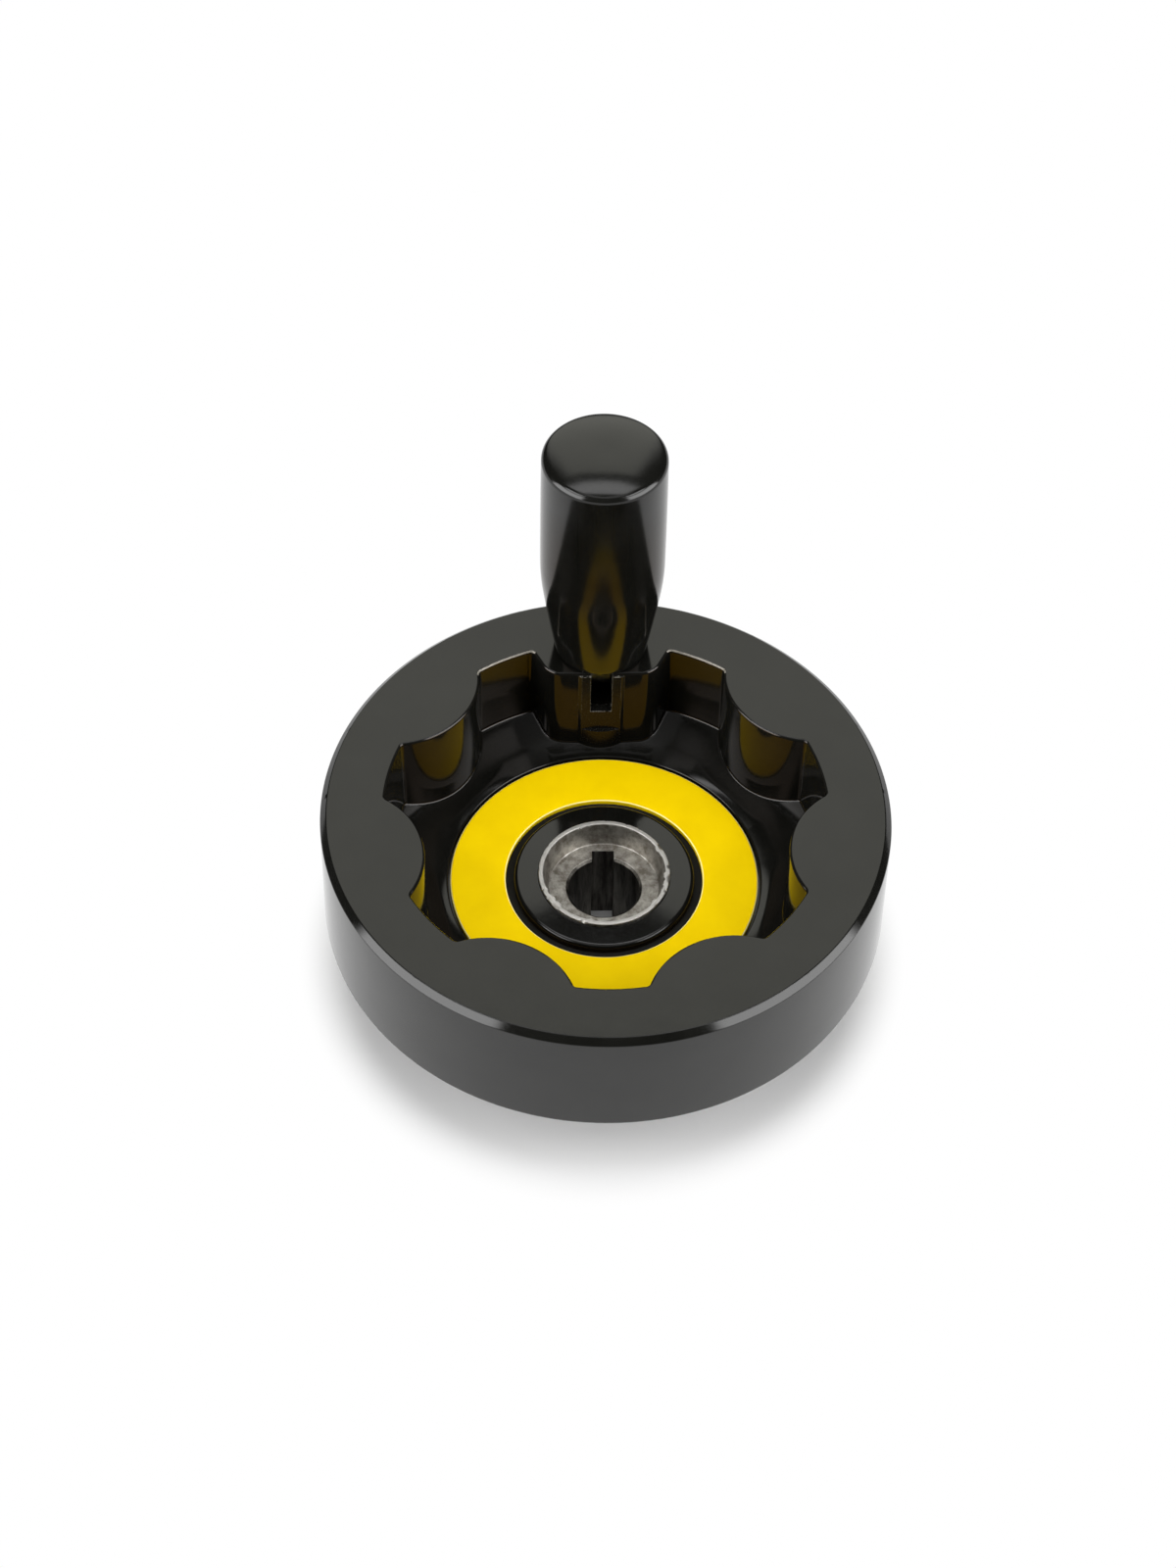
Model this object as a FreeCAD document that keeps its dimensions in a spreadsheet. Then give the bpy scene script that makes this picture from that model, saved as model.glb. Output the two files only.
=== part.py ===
import FreeCAD, Part
import math
import os

import Sketcher

# Machine handwheel with a wavy inner rim and a spring-loaded, revolving handle that folds
# into the bowl. Millimetres and degrees. Z is the bore axis, z = 0 is the back of the hub,
# and the handle stands over +Y.

os.makedirs("parts", exist_ok=True)
doc = FreeCAD.newDocument("machine_handwheel")

# Driving dimensions, as (name, value).
DRIVING = [
    # Rim, bowl and web of the moulded wheel
    ("wheel_diameter", 125),
    ("rim_height", 29.5),
    ("rim_draft", 1),
    ("rim_chamfer", 1.35),
    ("rim_foot_round", 0.8),
    ("rim_width", 14.3),
    ("pocket_corner_round", 1),
    ("web_depth", 24.7),
    ("web_slope_run", 7.7),
    ("web_rise", 3.7),
    ("underside_recess", 1),
    ("underside_rim_width", 23),
    # Finger lobes
    ("lobe_count", 7),
    ("lobe_depth", 7.6),
    ("lobe_half_angle", 16.4),
    ("lobe_edge_round", 0.6),
    ("lobe_wall", 4.6),
    ("lobe_roof", 5),
    ("rim_wall", 5.5),
    ("rib_thickness", 3),
    ("rib_setback", 2),
    # The wider lobe that carries the handle
    ("handle_inset", 14.2),
    ("handle_lobe_depth", 9.7),
    ("handle_lobe_half_angle", 18.7),
    ("handle_lobe_side_angle", 27.5),
    ("handle_lobe_corner", 4.8),
    ("column_radius", 11),
    ("column_setback", 0.8),
    ("seat_depth", 10.1),
    ("pivot_depth", 8),
    ("block_radius", 8),
    ("block_height", 18),
    ("block_roof", 3),
    ("slot_width", 4.8),
    ("slot_clearance", 0.5),
    # Hub, its steel bush and the ring plate
    ("hub_drop", 21.5),
    ("collar_root_radius", 20),
    ("collar_end_radius", 18.5),
    ("collar_round", 1.5),
    ("bush_back_stand", 3),
    ("boss_radius", 20.2),
    ("boss_height", 0.9),
    ("boss_fall", 0.35),
    ("boss_round", 0.5),
    ("bush_radius", 14.75),
    ("bush_front_stand", 0.8),
    ("bush_flat_radius", 12.9),
    ("bush_flat_count", 6),
    ("bush_flat_start", 8),
    ("bush_flat_length", 9),
    ("counterbore_mouth_radius", 13.4),
    ("counterbore_floor_radius", 12.4),
    ("counterbore_depth", 5.6),
    ("bore_diameter", 16),
    ("bore_chamfer", 0.6),
    ("key_width", 5),
    ("key_depth", 2.3),
    ("ring_outer_diameter", 68.8),
    ("ring_inner_diameter", 44),
    ("ring_thickness", 1.2),
    ("ring_sink", 0.15),
    ("ring_bevel_size", 0.25),
    ("ring_clearance", 0.5),
    ("recess_edge_round", 0.35),
    # Pivot pin and spindle
    ("pin_diameter", 4),
    ("pin_setback", 0.3),
    ("shaft_diameter", 8),
    ("tongue_thickness", 4.3),
    ("tongue_overrun", 0.5),
    ("spindle_tip_gap", 1),
    ("spindle_chamfer", 0.6),
    ("clip_groove_depth", 0.7),
    ("clip_thickness", 1),
    ("clip_setback", 2),
    ("clip_radius", 5.8),
    ("clip_gap_width", 6),
    # Grip and what is inside it
    ("grip_base_radius", 10.5),
    ("grip_belly_radius", 13.8),
    ("grip_crown_radius", 13.6),
    ("grip_knee_height", 18.4),
    ("grip_knee_radius", 13.25),
    ("grip_belly_height", 27),
    ("grip_height", 58.2),
    ("grip_dome_rise", 1.6),
    ("grip_crown_round", 1.7),
    ("grip_base_round", 0.6),
    ("grip_seat_gap", 0.3),
    ("cavity_radius", 8.5),
    ("cavity_depth", 50),
    ("guide_length", 12),
    ("guide_recess", 0.6),
    ("running_clearance", 0.05),
    ("washer_thickness", 1.2),
    ("washer_clearance", 0.4),
    ("washer_gap", 0.1),
    ("wire_diameter", 1.2),
    ("spring_radius", 6.2),
    ("spring_turns", 8),
]

# Places worked out from the driving dimensions, as (name, formula).
WORKED_OUT = [
    # Heights on the wheel
    ("rim_foot", "sizes.hub_drop"),
    ("rim_top", "rim_foot + sizes.rim_height"),
    ("web_top", "rim_top - sizes.web_depth"),
    ("web_bottom", "rim_foot + sizes.underside_recess"),
    ("bowl_edge", "web_top + sizes.web_rise"),
    ("boss_top", "web_top + sizes.boss_height"),
    ("boss_shoulder", "boss_top - sizes.boss_fall"),
    ("bush_front", "boss_top + sizes.bush_front_stand"),
    ("counterbore_floor", "bush_front - sizes.counterbore_depth"),
    ("ring_top", "web_top - sizes.ring_sink"),
    ("ring_seat", "ring_top - sizes.ring_thickness"),
    ("hollow_roof", "rim_top - sizes.lobe_roof"),
    ("rib_foot", "rim_foot + sizes.rib_setback"),
    ("rib_top", "hollow_roof + sizes.lobe_roof / 2"),
    ("pivot_height", "rim_top - sizes.pivot_depth"),
    ("ledge_height", "pivot_height - sizes.grip_base_radius"),
    ("column_top", "rim_top - sizes.column_setback"),
    ("block_top", "rim_top - sizes.block_roof"),
    ("block_bottom", "block_top - sizes.block_height"),
    ("slot_floor", "pivot_height - sizes.shaft_diameter / 2 - sizes.slot_clearance"),
    # Radii and places across the wheel
    ("rim_foot_radius", "sizes.wheel_diameter / 2"),
    ("pocket_radius", "rim_foot_radius - sizes.rim_width"),
    ("web_flat_radius", "pocket_radius - sizes.web_slope_run"),
    ("underside_rim_radius", "rim_foot_radius - sizes.underside_rim_width"),
    ("hollow_outer_radius", "rim_foot_radius - sizes.rim_wall"),
    ("handle_radius", "rim_foot_radius - sizes.handle_inset"),
    ("handle_lobe_front", "handle_radius - sizes.handle_lobe_depth"),
    ("seat_front", "handle_radius - sizes.seat_depth"),
    ("rim_top_radius", "rim_foot_radius - sizes.rim_height * tan(sizes.rim_draft)"),
    ("bore_radius", "sizes.bore_diameter / 2"),
    ("bore_mouth_radius", "bore_radius + sizes.bore_chamfer"),
    ("bore_chamfer_end", "counterbore_floor - sizes.bore_chamfer"),
    ("key_top", "bore_radius + sizes.key_depth"),
    ("ring_outer_radius", "sizes.ring_outer_diameter / 2"),
    ("ring_inner_radius", "sizes.ring_inner_diameter / 2"),
    ("ring_recess_radius", "ring_outer_radius + sizes.ring_clearance"),
    ("lobe_half_chord", "pocket_radius * sin(sizes.lobe_half_angle)"),
    ("lobe_chord_place", "pocket_radius * cos(sizes.lobe_half_angle)"),
    ("lobe_reach", "pocket_radius - sizes.lobe_depth"),
    ("lobe_sagitta", "lobe_chord_place - lobe_reach"),
    ("lobe_arc", "(lobe_half_chord ^ 2 + lobe_sagitta ^ 2) / (2 * lobe_sagitta)"),
    ("lobe_centre", "lobe_reach + lobe_arc"),
    ("lobe_tie", "lobe_chord_place + sizes.lobe_wall"),
    ("hollow_arc", "lobe_arc - sizes.lobe_wall"),
    ("hollow_reach", "lobe_reach + sizes.lobe_wall"),
    ("rib_start", "hollow_reach - sizes.lobe_wall / 2"),
    ("rib_end", "hollow_outer_radius + sizes.lobe_wall / 2"),
    ("lobe_pitch", "360 / sizes.lobe_count"),
    ("side_corner_x", "pocket_radius * sin(sizes.handle_lobe_half_angle)"),
    ("side_corner_y", "pocket_radius * cos(sizes.handle_lobe_half_angle)"),
    ("side_run", "side_corner_y - handle_lobe_front"),
    ("front_corner_x", "side_corner_x - side_run * tan(sizes.handle_lobe_side_angle)"),
    ("side_root_x", "side_corner_x + sizes.lobe_wall * tan(sizes.handle_lobe_side_angle)"),
    ("side_root_y", "side_corner_y + sizes.lobe_wall"),
    ("slot_back", "handle_radius + sizes.shaft_diameter / 2 + sizes.slot_clearance"),
    ("slot_reach", "slot_back - handle_radius"),
    ("slot_half_width", "sizes.slot_width / 2"),
    ("cut_front", "handle_radius - 1.5 * sizes.column_radius"),
    ("key_half_width", "sizes.key_width / 2"),
    ("rib_half_thickness", "sizes.rib_thickness / 2"),
    ("clip_gap_half_width", "sizes.clip_gap_width / 2"),
    # Spindle, from the pivot up
    ("shaft_radius", "sizes.shaft_diameter / 2"),
    ("pin_radius", "sizes.pin_diameter / 2"),
    ("pin_length", "2 * (sizes.block_radius - sizes.pin_setback)"),
    ("eye_radius", "pin_radius + sizes.running_clearance"),
    ("seat_run", "handle_radius - seat_front"),
    ("corner_run", "sqrt(seat_run ^ 2 + sizes.pivot_depth ^ 2)"),
    ("tongue_end", "corner_run + sizes.tongue_overrun"),
    ("left_flat_place", "-sizes.tongue_thickness / 2"),
    ("right_flat_place", "sizes.tongue_thickness / 2"),
    ("cavity_end", "sizes.pivot_depth + sizes.grip_seat_gap + sizes.cavity_depth"),
    ("spindle_top", "cavity_end - sizes.spindle_tip_gap"),
    ("spindle_chamfer_start", "spindle_top - sizes.spindle_chamfer"),
    ("spindle_chamfer_radius", "shaft_radius - sizes.spindle_chamfer"),
    ("clip_top", "spindle_top - sizes.clip_setback"),
    ("clip_bottom", "clip_top - sizes.clip_thickness"),
    ("groove_radius", "shaft_radius - sizes.clip_groove_depth"),
    ("stop_top", "clip_bottom - sizes.washer_gap"),
    ("stop_bottom", "stop_top - sizes.washer_thickness"),
    # Grip and its inner pieces, from the grip's base up
    ("grip_base", "rim_top + sizes.grip_seat_gap"),
    ("grip_top", "sizes.grip_height + sizes.grip_dome_rise"),
    ("foot_run", "sizes.grip_knee_radius - sizes.grip_base_radius"),
    ("knee_run", "sizes.grip_belly_radius - sizes.grip_knee_radius"),
    ("neck_run", "sizes.grip_belly_radius - sizes.grip_crown_radius"),
    ("knee_rise", "sizes.grip_belly_height - sizes.grip_knee_height"),
    ("neck_rise", "sizes.grip_height - sizes.grip_belly_height"),
    ("belly_arc", "(knee_run ^ 2 + knee_rise ^ 2) / (2 * knee_run)"),
    ("neck_arc", "(neck_run ^ 2 + neck_rise ^ 2) / (2 * neck_run)"),
    ("crown_square", "sizes.grip_crown_radius ^ 2"),
    ("dome_arc", "(crown_square + sizes.grip_dome_rise ^ 2) / (2 * sizes.grip_dome_rise)"),
    ("foot_square", "foot_run ^ 2 + sizes.grip_knee_height ^ 2"),
    ("knee_across", "foot_run * (belly_arc - knee_run) / belly_arc"),
    ("knee_along", "sizes.grip_knee_height * knee_rise / belly_arc"),
    ("foot_arc", "foot_square / (2 * (knee_across - knee_along))"),
    ("guide_top", "sizes.guide_recess + sizes.guide_length"),
    ("guide_bore_radius", "shaft_radius + sizes.running_clearance"),
    ("thrust_bottom", "guide_top + sizes.washer_gap"),
    ("thrust_top", "thrust_bottom + sizes.washer_thickness"),
    ("washer_radius", "sizes.cavity_radius - sizes.washer_clearance"),
    ("washer_bore_radius", "shaft_radius + sizes.washer_clearance / 2"),
    ("spring_foot", "grip_base + thrust_top"),
    ("spring_head", "pivot_height + stop_bottom"),
    ("spring_length", "spring_head - spring_foot"),
    ("wire_radius", "sizes.wire_diameter / 2"),
    ("wire_lift", "wire_radius + sizes.washer_gap"),
]


def fill_sheet(name, rows, lead):
    """Write rows of (alias, text) into a new spreadsheet; lead goes before each text."""
    sheet = doc.addObject("Spreadsheet::Sheet", name)
    for row, (alias, text) in enumerate(rows, start=1):
        sheet.set(f"A{row}", alias)
        sheet.set(f"B{row}", f"{lead}{text}")
        sheet.setAlias(f"B{row}", alias)
    return sheet


sizes = fill_sheet("sizes", DRIVING, "")
places = fill_sheet("places", WORKED_OUT, "=")
doc.recompute()
driving_names = {name for name, value in DRIVING}


def bound(name):
    """The expression that reads a named size or place."""
    sheet = "sizes" if name in driving_names else "places"
    return f"{sheet}.{name}"


def number(name):
    """The present value of a named size or place; a leading minus sign turns it round."""
    if name is None:
        return 0
    if name.startswith("-"):
        return -number(name[1:])
    sheet = sizes if name in driving_names else places
    return float(sheet.get(name))


# Sketches: a point is given as two names, where None is an axis and a minus sign the other side

START, END, CENTRE = range(1, 4)
FLAT_AXIS, UPRIGHT_AXIS = range(-1, -3, -1)
ORIGIN = (FLAT_AXIS, START)
UP = FreeCAD.Vector(0, 0, 1)


def spot(across, up):
    return FreeCAD.Vector(number(across), number(up), 0)


def new_body(name, place=None):
    """A body with its own label; place maps an axis letter to the name of its offset."""
    body = doc.addObject("PartDesign::Body", name)
    body.Label = name
    for axis, offset in (place or {}).items():
        body.setExpression(f"Placement.Base.{axis}", bound(offset))
    return body


def origin_feature(body, role):
    """The body's own origin plane or axis that has this role."""
    return next(item for item in body.Origin.OriginFeatures if item.Role == role)


def new_sketch(body, name, plane, offset=None, turn=None):
    """A sketch on an origin plane of its body, moved along it or turned by a named value."""
    sketch = body.newObject("Sketcher::SketchObject", name)
    sketch.AttachmentSupport = [(origin_feature(body, plane), "")]
    sketch.MapMode = "FlatFace"
    if offset:
        sketch.setExpression("AttachmentOffset.Base.z", bound(offset))
    if turn:
        sketch.setExpression("AttachmentOffset.Rotation.Angle", bound(turn))
    return sketch


def tie(sketch, kind, *target):
    return sketch.addConstraint(Sketcher.Constraint(kind, *target))


def hold(sketch, kind, *target):
    """Add a dimension whose last argument names its value."""
    *where, name = target
    index = tie(sketch, kind, *where, number(name))
    sketch.setExpression(f"Constraints[{index}]", bound(name))


def hold_point(sketch, line, point, across, up):
    """Hold one point of a line or arc at its two named distances from the origin."""
    for kind, name, axis in (("DistanceX", across, UPRIGHT_AXIS), ("DistanceY", up, FLAT_AXIS)):
        if name is None:
            tie(sketch, "PointOnObject", line, point, axis)
        elif name.startswith("-"):
            hold(sketch, kind, line, point, *ORIGIN, name[1:])
        else:
            hold(sketch, kind, *ORIGIN, line, point, name)


def join_in_turn(sketch, count):
    """Join the end of each of the first lines and arcs to the start of the next."""
    for i in range(count):
        tie(sketch, "Coincident", i, END, (i + 1) % count, START)


def draw_outline(sketch, corners):
    """Closed outline of straight lines through corners."""
    for i, corner in enumerate(corners):
        following = corners[(i + 1) % len(corners)]
        sketch.addGeometry(Part.LineSegment(spot(*corner), spot(*following)), False)
    join_in_turn(sketch, len(corners))
    for i, corner in enumerate(corners):
        hold_point(sketch, i, START, *corner)


def draw_box(sketch, half_width, low, high):
    """Rectangle to both sides of the upright axis, between two heights."""
    left = f"-{half_width}"
    draw_outline(sketch, [(left, low), (half_width, low), (half_width, high), (left, high)])


def draw_circle(sketch, up, radius):
    """Circle with its centre on the upright axis."""
    line = sketch.addGeometry(Part.Circle(spot(None, up), UP, number(radius)), False)
    hold_point(sketch, line, CENTRE, None, up)
    hold(sketch, "Radius", line, radius)


def draw_segment(sketch, centre, radius, tie_line, below):
    """The part of a circle below or above a level chord, on the upright axis."""
    rise = number(tie_line) - number(centre)
    turn = math.asin(rise / number(radius))
    ends = (math.pi - turn, 2 * math.pi + turn) if below else (turn, math.pi - turn)
    circle = Part.Circle(spot(None, centre), UP, number(radius))
    arc = Part.ArcOfCircle(circle, *ends)
    sketch.addGeometry(arc, False)
    sketch.addGeometry(Part.LineSegment(arc.EndPoint, arc.StartPoint), False)
    join_in_turn(sketch, 2)
    tie(sketch, "Horizontal", 1)
    hold_point(sketch, 0, CENTRE, None, centre)
    hold(sketch, "Radius", 0, radius)
    hold(sketch, "DistanceY", *ORIGIN, 1, START, tie_line)


# Features


def revolve(body, sketch):
    """Turn a sketch's outline about its upright axis."""
    feature = body.newObject("PartDesign::Revolution", f"{sketch.Name}_turned")
    feature.Profile = sketch
    feature.ReferenceAxis = (sketch, ["V_Axis"])
    feature.Angle = 360
    sketch.Visibility = False
    return feature


def extrude(body, sketch, kind, length, up=True, both_ways=False):
    """Pad or Pocket of a length given as a formula; up is along the sketch's normal."""
    feature = body.newObject(f"PartDesign::{kind}", f"{sketch.Name}_{kind.lower()}")
    feature.Profile = sketch
    feature.Reversed = up if kind == "Pocket" else not up
    feature.Midplane = both_ways
    feature.setExpression("Length", length)
    sketch.Visibility = False
    return feature


def repeat(body, feature, count, angle):
    """Copies of a feature about the body's Z axis, over an angle given as a formula."""
    pattern = body.newObject("PartDesign::PolarPattern", f"{feature.Name}_pattern")
    pattern.Originals = [feature]
    pattern.Axis = (origin_feature(body, "Z_Axis"), [""])
    pattern.setExpression("Angle", angle)
    pattern.setExpression("Occurrences", count)
    body.Tip = pattern
    return pattern


def dress_edges(body, name, size, wanted, kind="Fillet"):
    """Fillet or chamfer every edge of the body for which wanted(edge) is true."""
    doc.recompute()
    base = body.Tip
    edges = [f"Edge{i}" for i, edge in enumerate(base.Shape.Edges, start=1) if wanted(edge)]
    if not edges:
        raise ValueError(f"{name}: no edge found")
    feature = body.newObject(f"PartDesign::{kind}", name)
    feature.Base = (base, edges)
    feature.setExpression("Radius" if kind == "Fillet" else "Size", bound(size))
    return feature


NEAR = 1e-3


def near(first, second):
    return abs(first - second) < NEAR


def middle_of(edge):
    return edge.valueAt((edge.FirstParameter + edge.LastParameter) / 2)


def radius_of(edge):
    """Distance of an edge's middle from the Z axis."""
    middle = middle_of(edge)
    return math.hypot(middle.x, middle.y)


def lies_at(edge, height):
    """Whether a whole edge lies at one height."""
    return near(edge.BoundBox.ZMin, height) and near(edge.BoundBox.ZMax, height)


def is_upright(edge):
    """Whether an edge is a straight line along Z."""
    box = edge.BoundBox
    return box.XLength < NEAR and box.YLength < NEAR and box.ZLength > NEAR


def is_ring(edge, radius, height):
    """Whether an edge lies at a named radius and height."""
    return lies_at(edge, number(height)) and near(radius_of(edge), number(radius))


# Wheel: one compression moulding in phenolic resin, with its lobes, web, boss and collar


def make_wheel():
    body = new_body("wheel")
    section = new_sketch(body, "wheel_section", "XZ_Plane")
    draw_outline(
        section,
        [
            ("bush_radius", "bush_back_stand"),
            ("collar_end_radius", "bush_back_stand"),
            ("collar_root_radius", "web_bottom"),
            ("underside_rim_radius", "web_bottom"),
            ("underside_rim_radius", "rim_foot"),
            ("rim_foot_radius", "rim_foot"),
            ("rim_top_radius", "rim_top"),
            ("pocket_radius", "rim_top"),
            ("pocket_radius", "bowl_edge"),
            ("web_flat_radius", "web_top"),
            ("ring_recess_radius", "web_top"),
            ("ring_recess_radius", "ring_seat"),
            ("boss_radius", "ring_seat"),
            ("boss_radius", "boss_shoulder"),
            ("bush_radius", "boss_top"),
        ],
    )
    revolve(body, section)
    add_lobes(body)
    round_wheel(body)
    add_column(body)
    core_lobes(body)

    fill = new_sketch(body, "flat_fill_outline", "XY_Plane", "bush_flat_start")
    draw_segment(fill, None, "bush_radius", "bush_flat_radius", below=False)
    fill_pad = extrude(body, fill, "Pad", "sizes.bush_flat_length")
    repeat(body, fill_pad, "sizes.bush_flat_count", "360")
    return body


def add_lobes(body):
    """Seven finger lobes round the bowl, one of them widened to carry the handle."""
    lobe = new_sketch(body, "lobe_outline", "XY_Plane", "web_bottom")
    draw_segment(lobe, "lobe_centre", "lobe_arc", "lobe_tie", below=True)
    lobe_pad = extrude(body, lobe, "Pad", "places.rim_top - places.web_bottom")
    repeat(body, lobe_pad, "sizes.lobe_count", "360")

    carrier = new_sketch(body, "handle_lobe_outline", "XY_Plane", "web_bottom")
    draw_outline(
        carrier,
        [
            ("-front_corner_x", "handle_lobe_front"),
            ("front_corner_x", "handle_lobe_front"),
            ("side_root_x", "side_root_y"),
            ("-side_root_x", "side_root_y"),
        ],
    )
    extrude(body, carrier, "Pad", "places.rim_top - places.web_bottom")


def round_wheel(body):
    """The rounded corners and edges of the moulding."""
    front, wall = number("handle_lobe_front"), number("pocket_radius")
    top, outside = number("rim_top"), number("rim_top_radius") - NEAR

    def at_front(edge):
        return is_upright(edge) and near(middle_of(edge).y, front)

    def at_pocket_wall(edge):
        return is_upright(edge) and near(radius_of(edge), wall)

    def at_bowl_mouth(edge):
        return lies_at(edge, top) and radius_of(edge) < outside

    def at_rim(edge):
        return is_ring(edge, "rim_top_radius", "rim_top")

    dress_edges(body, "handle_lobe_corners", "handle_lobe_corner", at_front)
    dress_edges(body, "pocket_corners", "pocket_corner_round", at_pocket_wall)
    dress_edges(body, "lobe_edges", "lobe_edge_round", at_bowl_mouth)
    for name, size, radius, height in (
        ("rim_foot_edge", "rim_foot_round", "rim_foot_radius", "rim_foot"),
        ("recess_edge", "recess_edge_round", "ring_recess_radius", "web_top"),
        ("boss_edge", "boss_round", "boss_radius", "boss_shoulder"),
        ("collar_edge", "collar_round", "collar_end_radius", "bush_back_stand"),
    ):
        dress_edges(body, name, size, lambda edge: is_ring(edge, radius, height))
    dress_edges(body, "rim_edge", "rim_chamfer", at_rim, "Chamfer")


def add_column(body):
    """The round column under the handle, its flat seat, and the slot and bore in it."""
    column = new_sketch(body, "column_outline", "XY_Plane", "web_bottom")
    draw_circle(column, "handle_radius", "column_radius")
    extrude(body, column, "Pad", "places.column_top - places.web_bottom")

    seat = new_sketch(body, "seat_outline", "XY_Plane", "ledge_height")
    draw_box(seat, "column_radius", "cut_front", "seat_front")
    extrude(body, seat, "Pocket", "sizes.rim_height")

    slot = new_sketch(body, "slot_outline", "XY_Plane", "slot_floor")
    draw_box(slot, "slot_half_width", "cut_front", "slot_back")
    extrude(body, slot, "Pocket", "sizes.rim_height")

    bore = new_sketch(body, "block_bore_outline", "XY_Plane", "rim_foot")
    draw_circle(bore, "handle_radius", "block_radius")
    extrude(body, bore, "Pocket", "places.block_top - places.rim_foot")


def core_lobes(body):
    """Hollow each finger lobe from below, with one radial rib left in it."""
    hollow = new_sketch(body, "hollow_outline", "XY_Plane", "rim_foot", "lobe_pitch")
    centre, inner = number("lobe_centre"), number("hollow_arc")
    outer = number("hollow_outer_radius")
    meet_y = (outer**2 - inner**2 + centre**2) / (2 * centre)
    meet_x = math.sqrt(outer**2 - meet_y**2)
    inner_turn = math.atan2(centre - meet_y, meet_x)
    outer_turn = math.atan2(meet_y, meet_x)
    inner_circle = Part.Circle(spot(None, "lobe_centre"), UP, inner)
    outer_circle = Part.Circle(spot(None, None), UP, outer)
    inner_ends = (math.pi + inner_turn, 2 * math.pi - inner_turn)
    hollow.addGeometry(Part.ArcOfCircle(inner_circle, *inner_ends), False)
    outer_ends = (outer_turn, math.pi - outer_turn)
    hollow.addGeometry(Part.ArcOfCircle(outer_circle, *outer_ends), False)
    join_in_turn(hollow, 2)
    tie(hollow, "Coincident", 1, CENTRE, *ORIGIN)
    hold_point(hollow, 0, CENTRE, None, "lobe_centre")
    hold(hollow, "Radius", 0, "hollow_arc")
    hold(hollow, "Radius", 1, "hollow_outer_radius")
    pocket = extrude(body, hollow, "Pocket", "places.hollow_roof - places.rim_foot")
    others = "sizes.lobe_count - 1"
    spread = "places.lobe_pitch * (sizes.lobe_count - 2)"
    repeat(body, pocket, others, spread)

    rib = new_sketch(body, "rib_outline", "XY_Plane", "rib_foot", "lobe_pitch")
    draw_box(rib, "rib_half_thickness", "rib_start", "rib_end")
    rib_pad = extrude(body, rib, "Pad", "places.rib_top - places.rib_foot")
    repeat(body, rib_pad, others, spread)


# Hub bush: turned steel, with a counterbored mouth, a bore and one keyway


def make_hub_bush():
    body = new_body("hub_bush")
    section = new_sketch(body, "bush_section", "XZ_Plane")
    draw_outline(
        section,
        [
            ("bore_mouth_radius", None),
            ("bush_radius", None),
            ("bush_radius", "bush_front"),
            ("counterbore_mouth_radius", "bush_front"),
            ("counterbore_floor_radius", "counterbore_floor"),
            ("bore_mouth_radius", "counterbore_floor"),
            ("bore_radius", "bore_chamfer_end"),
            ("bore_radius", "bore_chamfer"),
        ],
    )
    revolve(body, section)

    keyway = new_sketch(body, "keyway_outline", "XY_Plane")
    draw_box(keyway, "key_half_width", None, "key_top")
    extrude(body, keyway, "Pocket", "places.counterbore_floor")

    flat = new_sketch(body, "bush_flat_outline", "XY_Plane", "bush_flat_start")
    draw_box(flat, "bush_radius", "bush_flat_radius", "bush_radius")
    flat_pocket = extrude(body, flat, "Pocket", "sizes.bush_flat_length")
    repeat(body, flat_pocket, "sizes.bush_flat_count", "360")
    return body


# Pieces turned from a rectangle: the ring plate, the washers and the guide bush

ON_PIVOT = {"y": "handle_radius", "z": "pivot_height"}
ON_GRIP = {"y": "handle_radius", "z": "grip_base"}


def make_tube(name, place, inner, outer, low, high):
    """A body turned from a rectangle; with no inner radius it is solid."""
    body = new_body(name, place)
    section = new_sketch(body, f"{name}_section", "XZ_Plane")
    draw_outline(section, [(inner, low), (outer, low), (outer, high), (inner, high)])
    revolve(body, section)
    return body


def make_ring_plate():
    """Yellow ring plate with bevelled edges, which lies in the recess round the boss."""
    edges = ("ring_inner_radius", "ring_outer_radius", "ring_seat", "ring_top")
    body = make_tube("ring_plate", None, *edges)
    top = number("ring_top")
    dress_edges(body, "ring_bevel", "ring_bevel_size", lambda edge: lies_at(edge, top), "Chamfer")
    return body


def make_guide_bush():
    """Bronze bush pressed into the mouth of the grip; it turns and slides on the spindle."""
    edges = ("guide_bore_radius", "cavity_radius", "guide_recess", "guide_top")
    return make_tube("guide_bush", ON_GRIP, *edges)


def make_thrust_washer():
    """Washer between the guide bush and the spring."""
    edges = ("washer_bore_radius", "washer_radius", "thrust_bottom", "thrust_top")
    return make_tube("thrust_washer", ON_GRIP, *edges)


def make_stop_washer():
    """Washer between the spring and the retaining clip."""
    edges = ("washer_bore_radius", "washer_radius", "stop_bottom", "stop_top")
    return make_tube("stop_washer", ON_PIVOT, *edges)


# Hinge block: a zinc cylinder pressed into the column from below, slotted for the tongue


def make_hinge_block():
    edges = (None, "block_radius", "block_bottom", "block_top")
    body = make_tube("hinge_block", {"y": "handle_radius"}, *edges)
    slot = new_sketch(body, "block_slot_outline", "XY_Plane", "slot_floor")
    draw_box(slot, "slot_half_width", "-column_radius", "slot_reach")
    extrude(body, slot, "Pocket", "sizes.rim_height")
    hole = new_sketch(body, "block_hole_outline", "YZ_Plane")
    draw_circle(hole, "pivot_height", "pin_radius")
    extrude(body, hole, "Pocket", "4 * sizes.block_radius", both_ways=True)
    return body


def make_pivot_pin():
    """Plain steel pin across the hinge block."""
    body = new_body("pivot_pin", ON_PIVOT)
    section = new_sketch(body, "pivot_pin_section", "YZ_Plane")
    draw_circle(section, None, "pin_radius")
    extrude(body, section, "Pad", "places.pin_length", both_ways=True)
    return body


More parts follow.
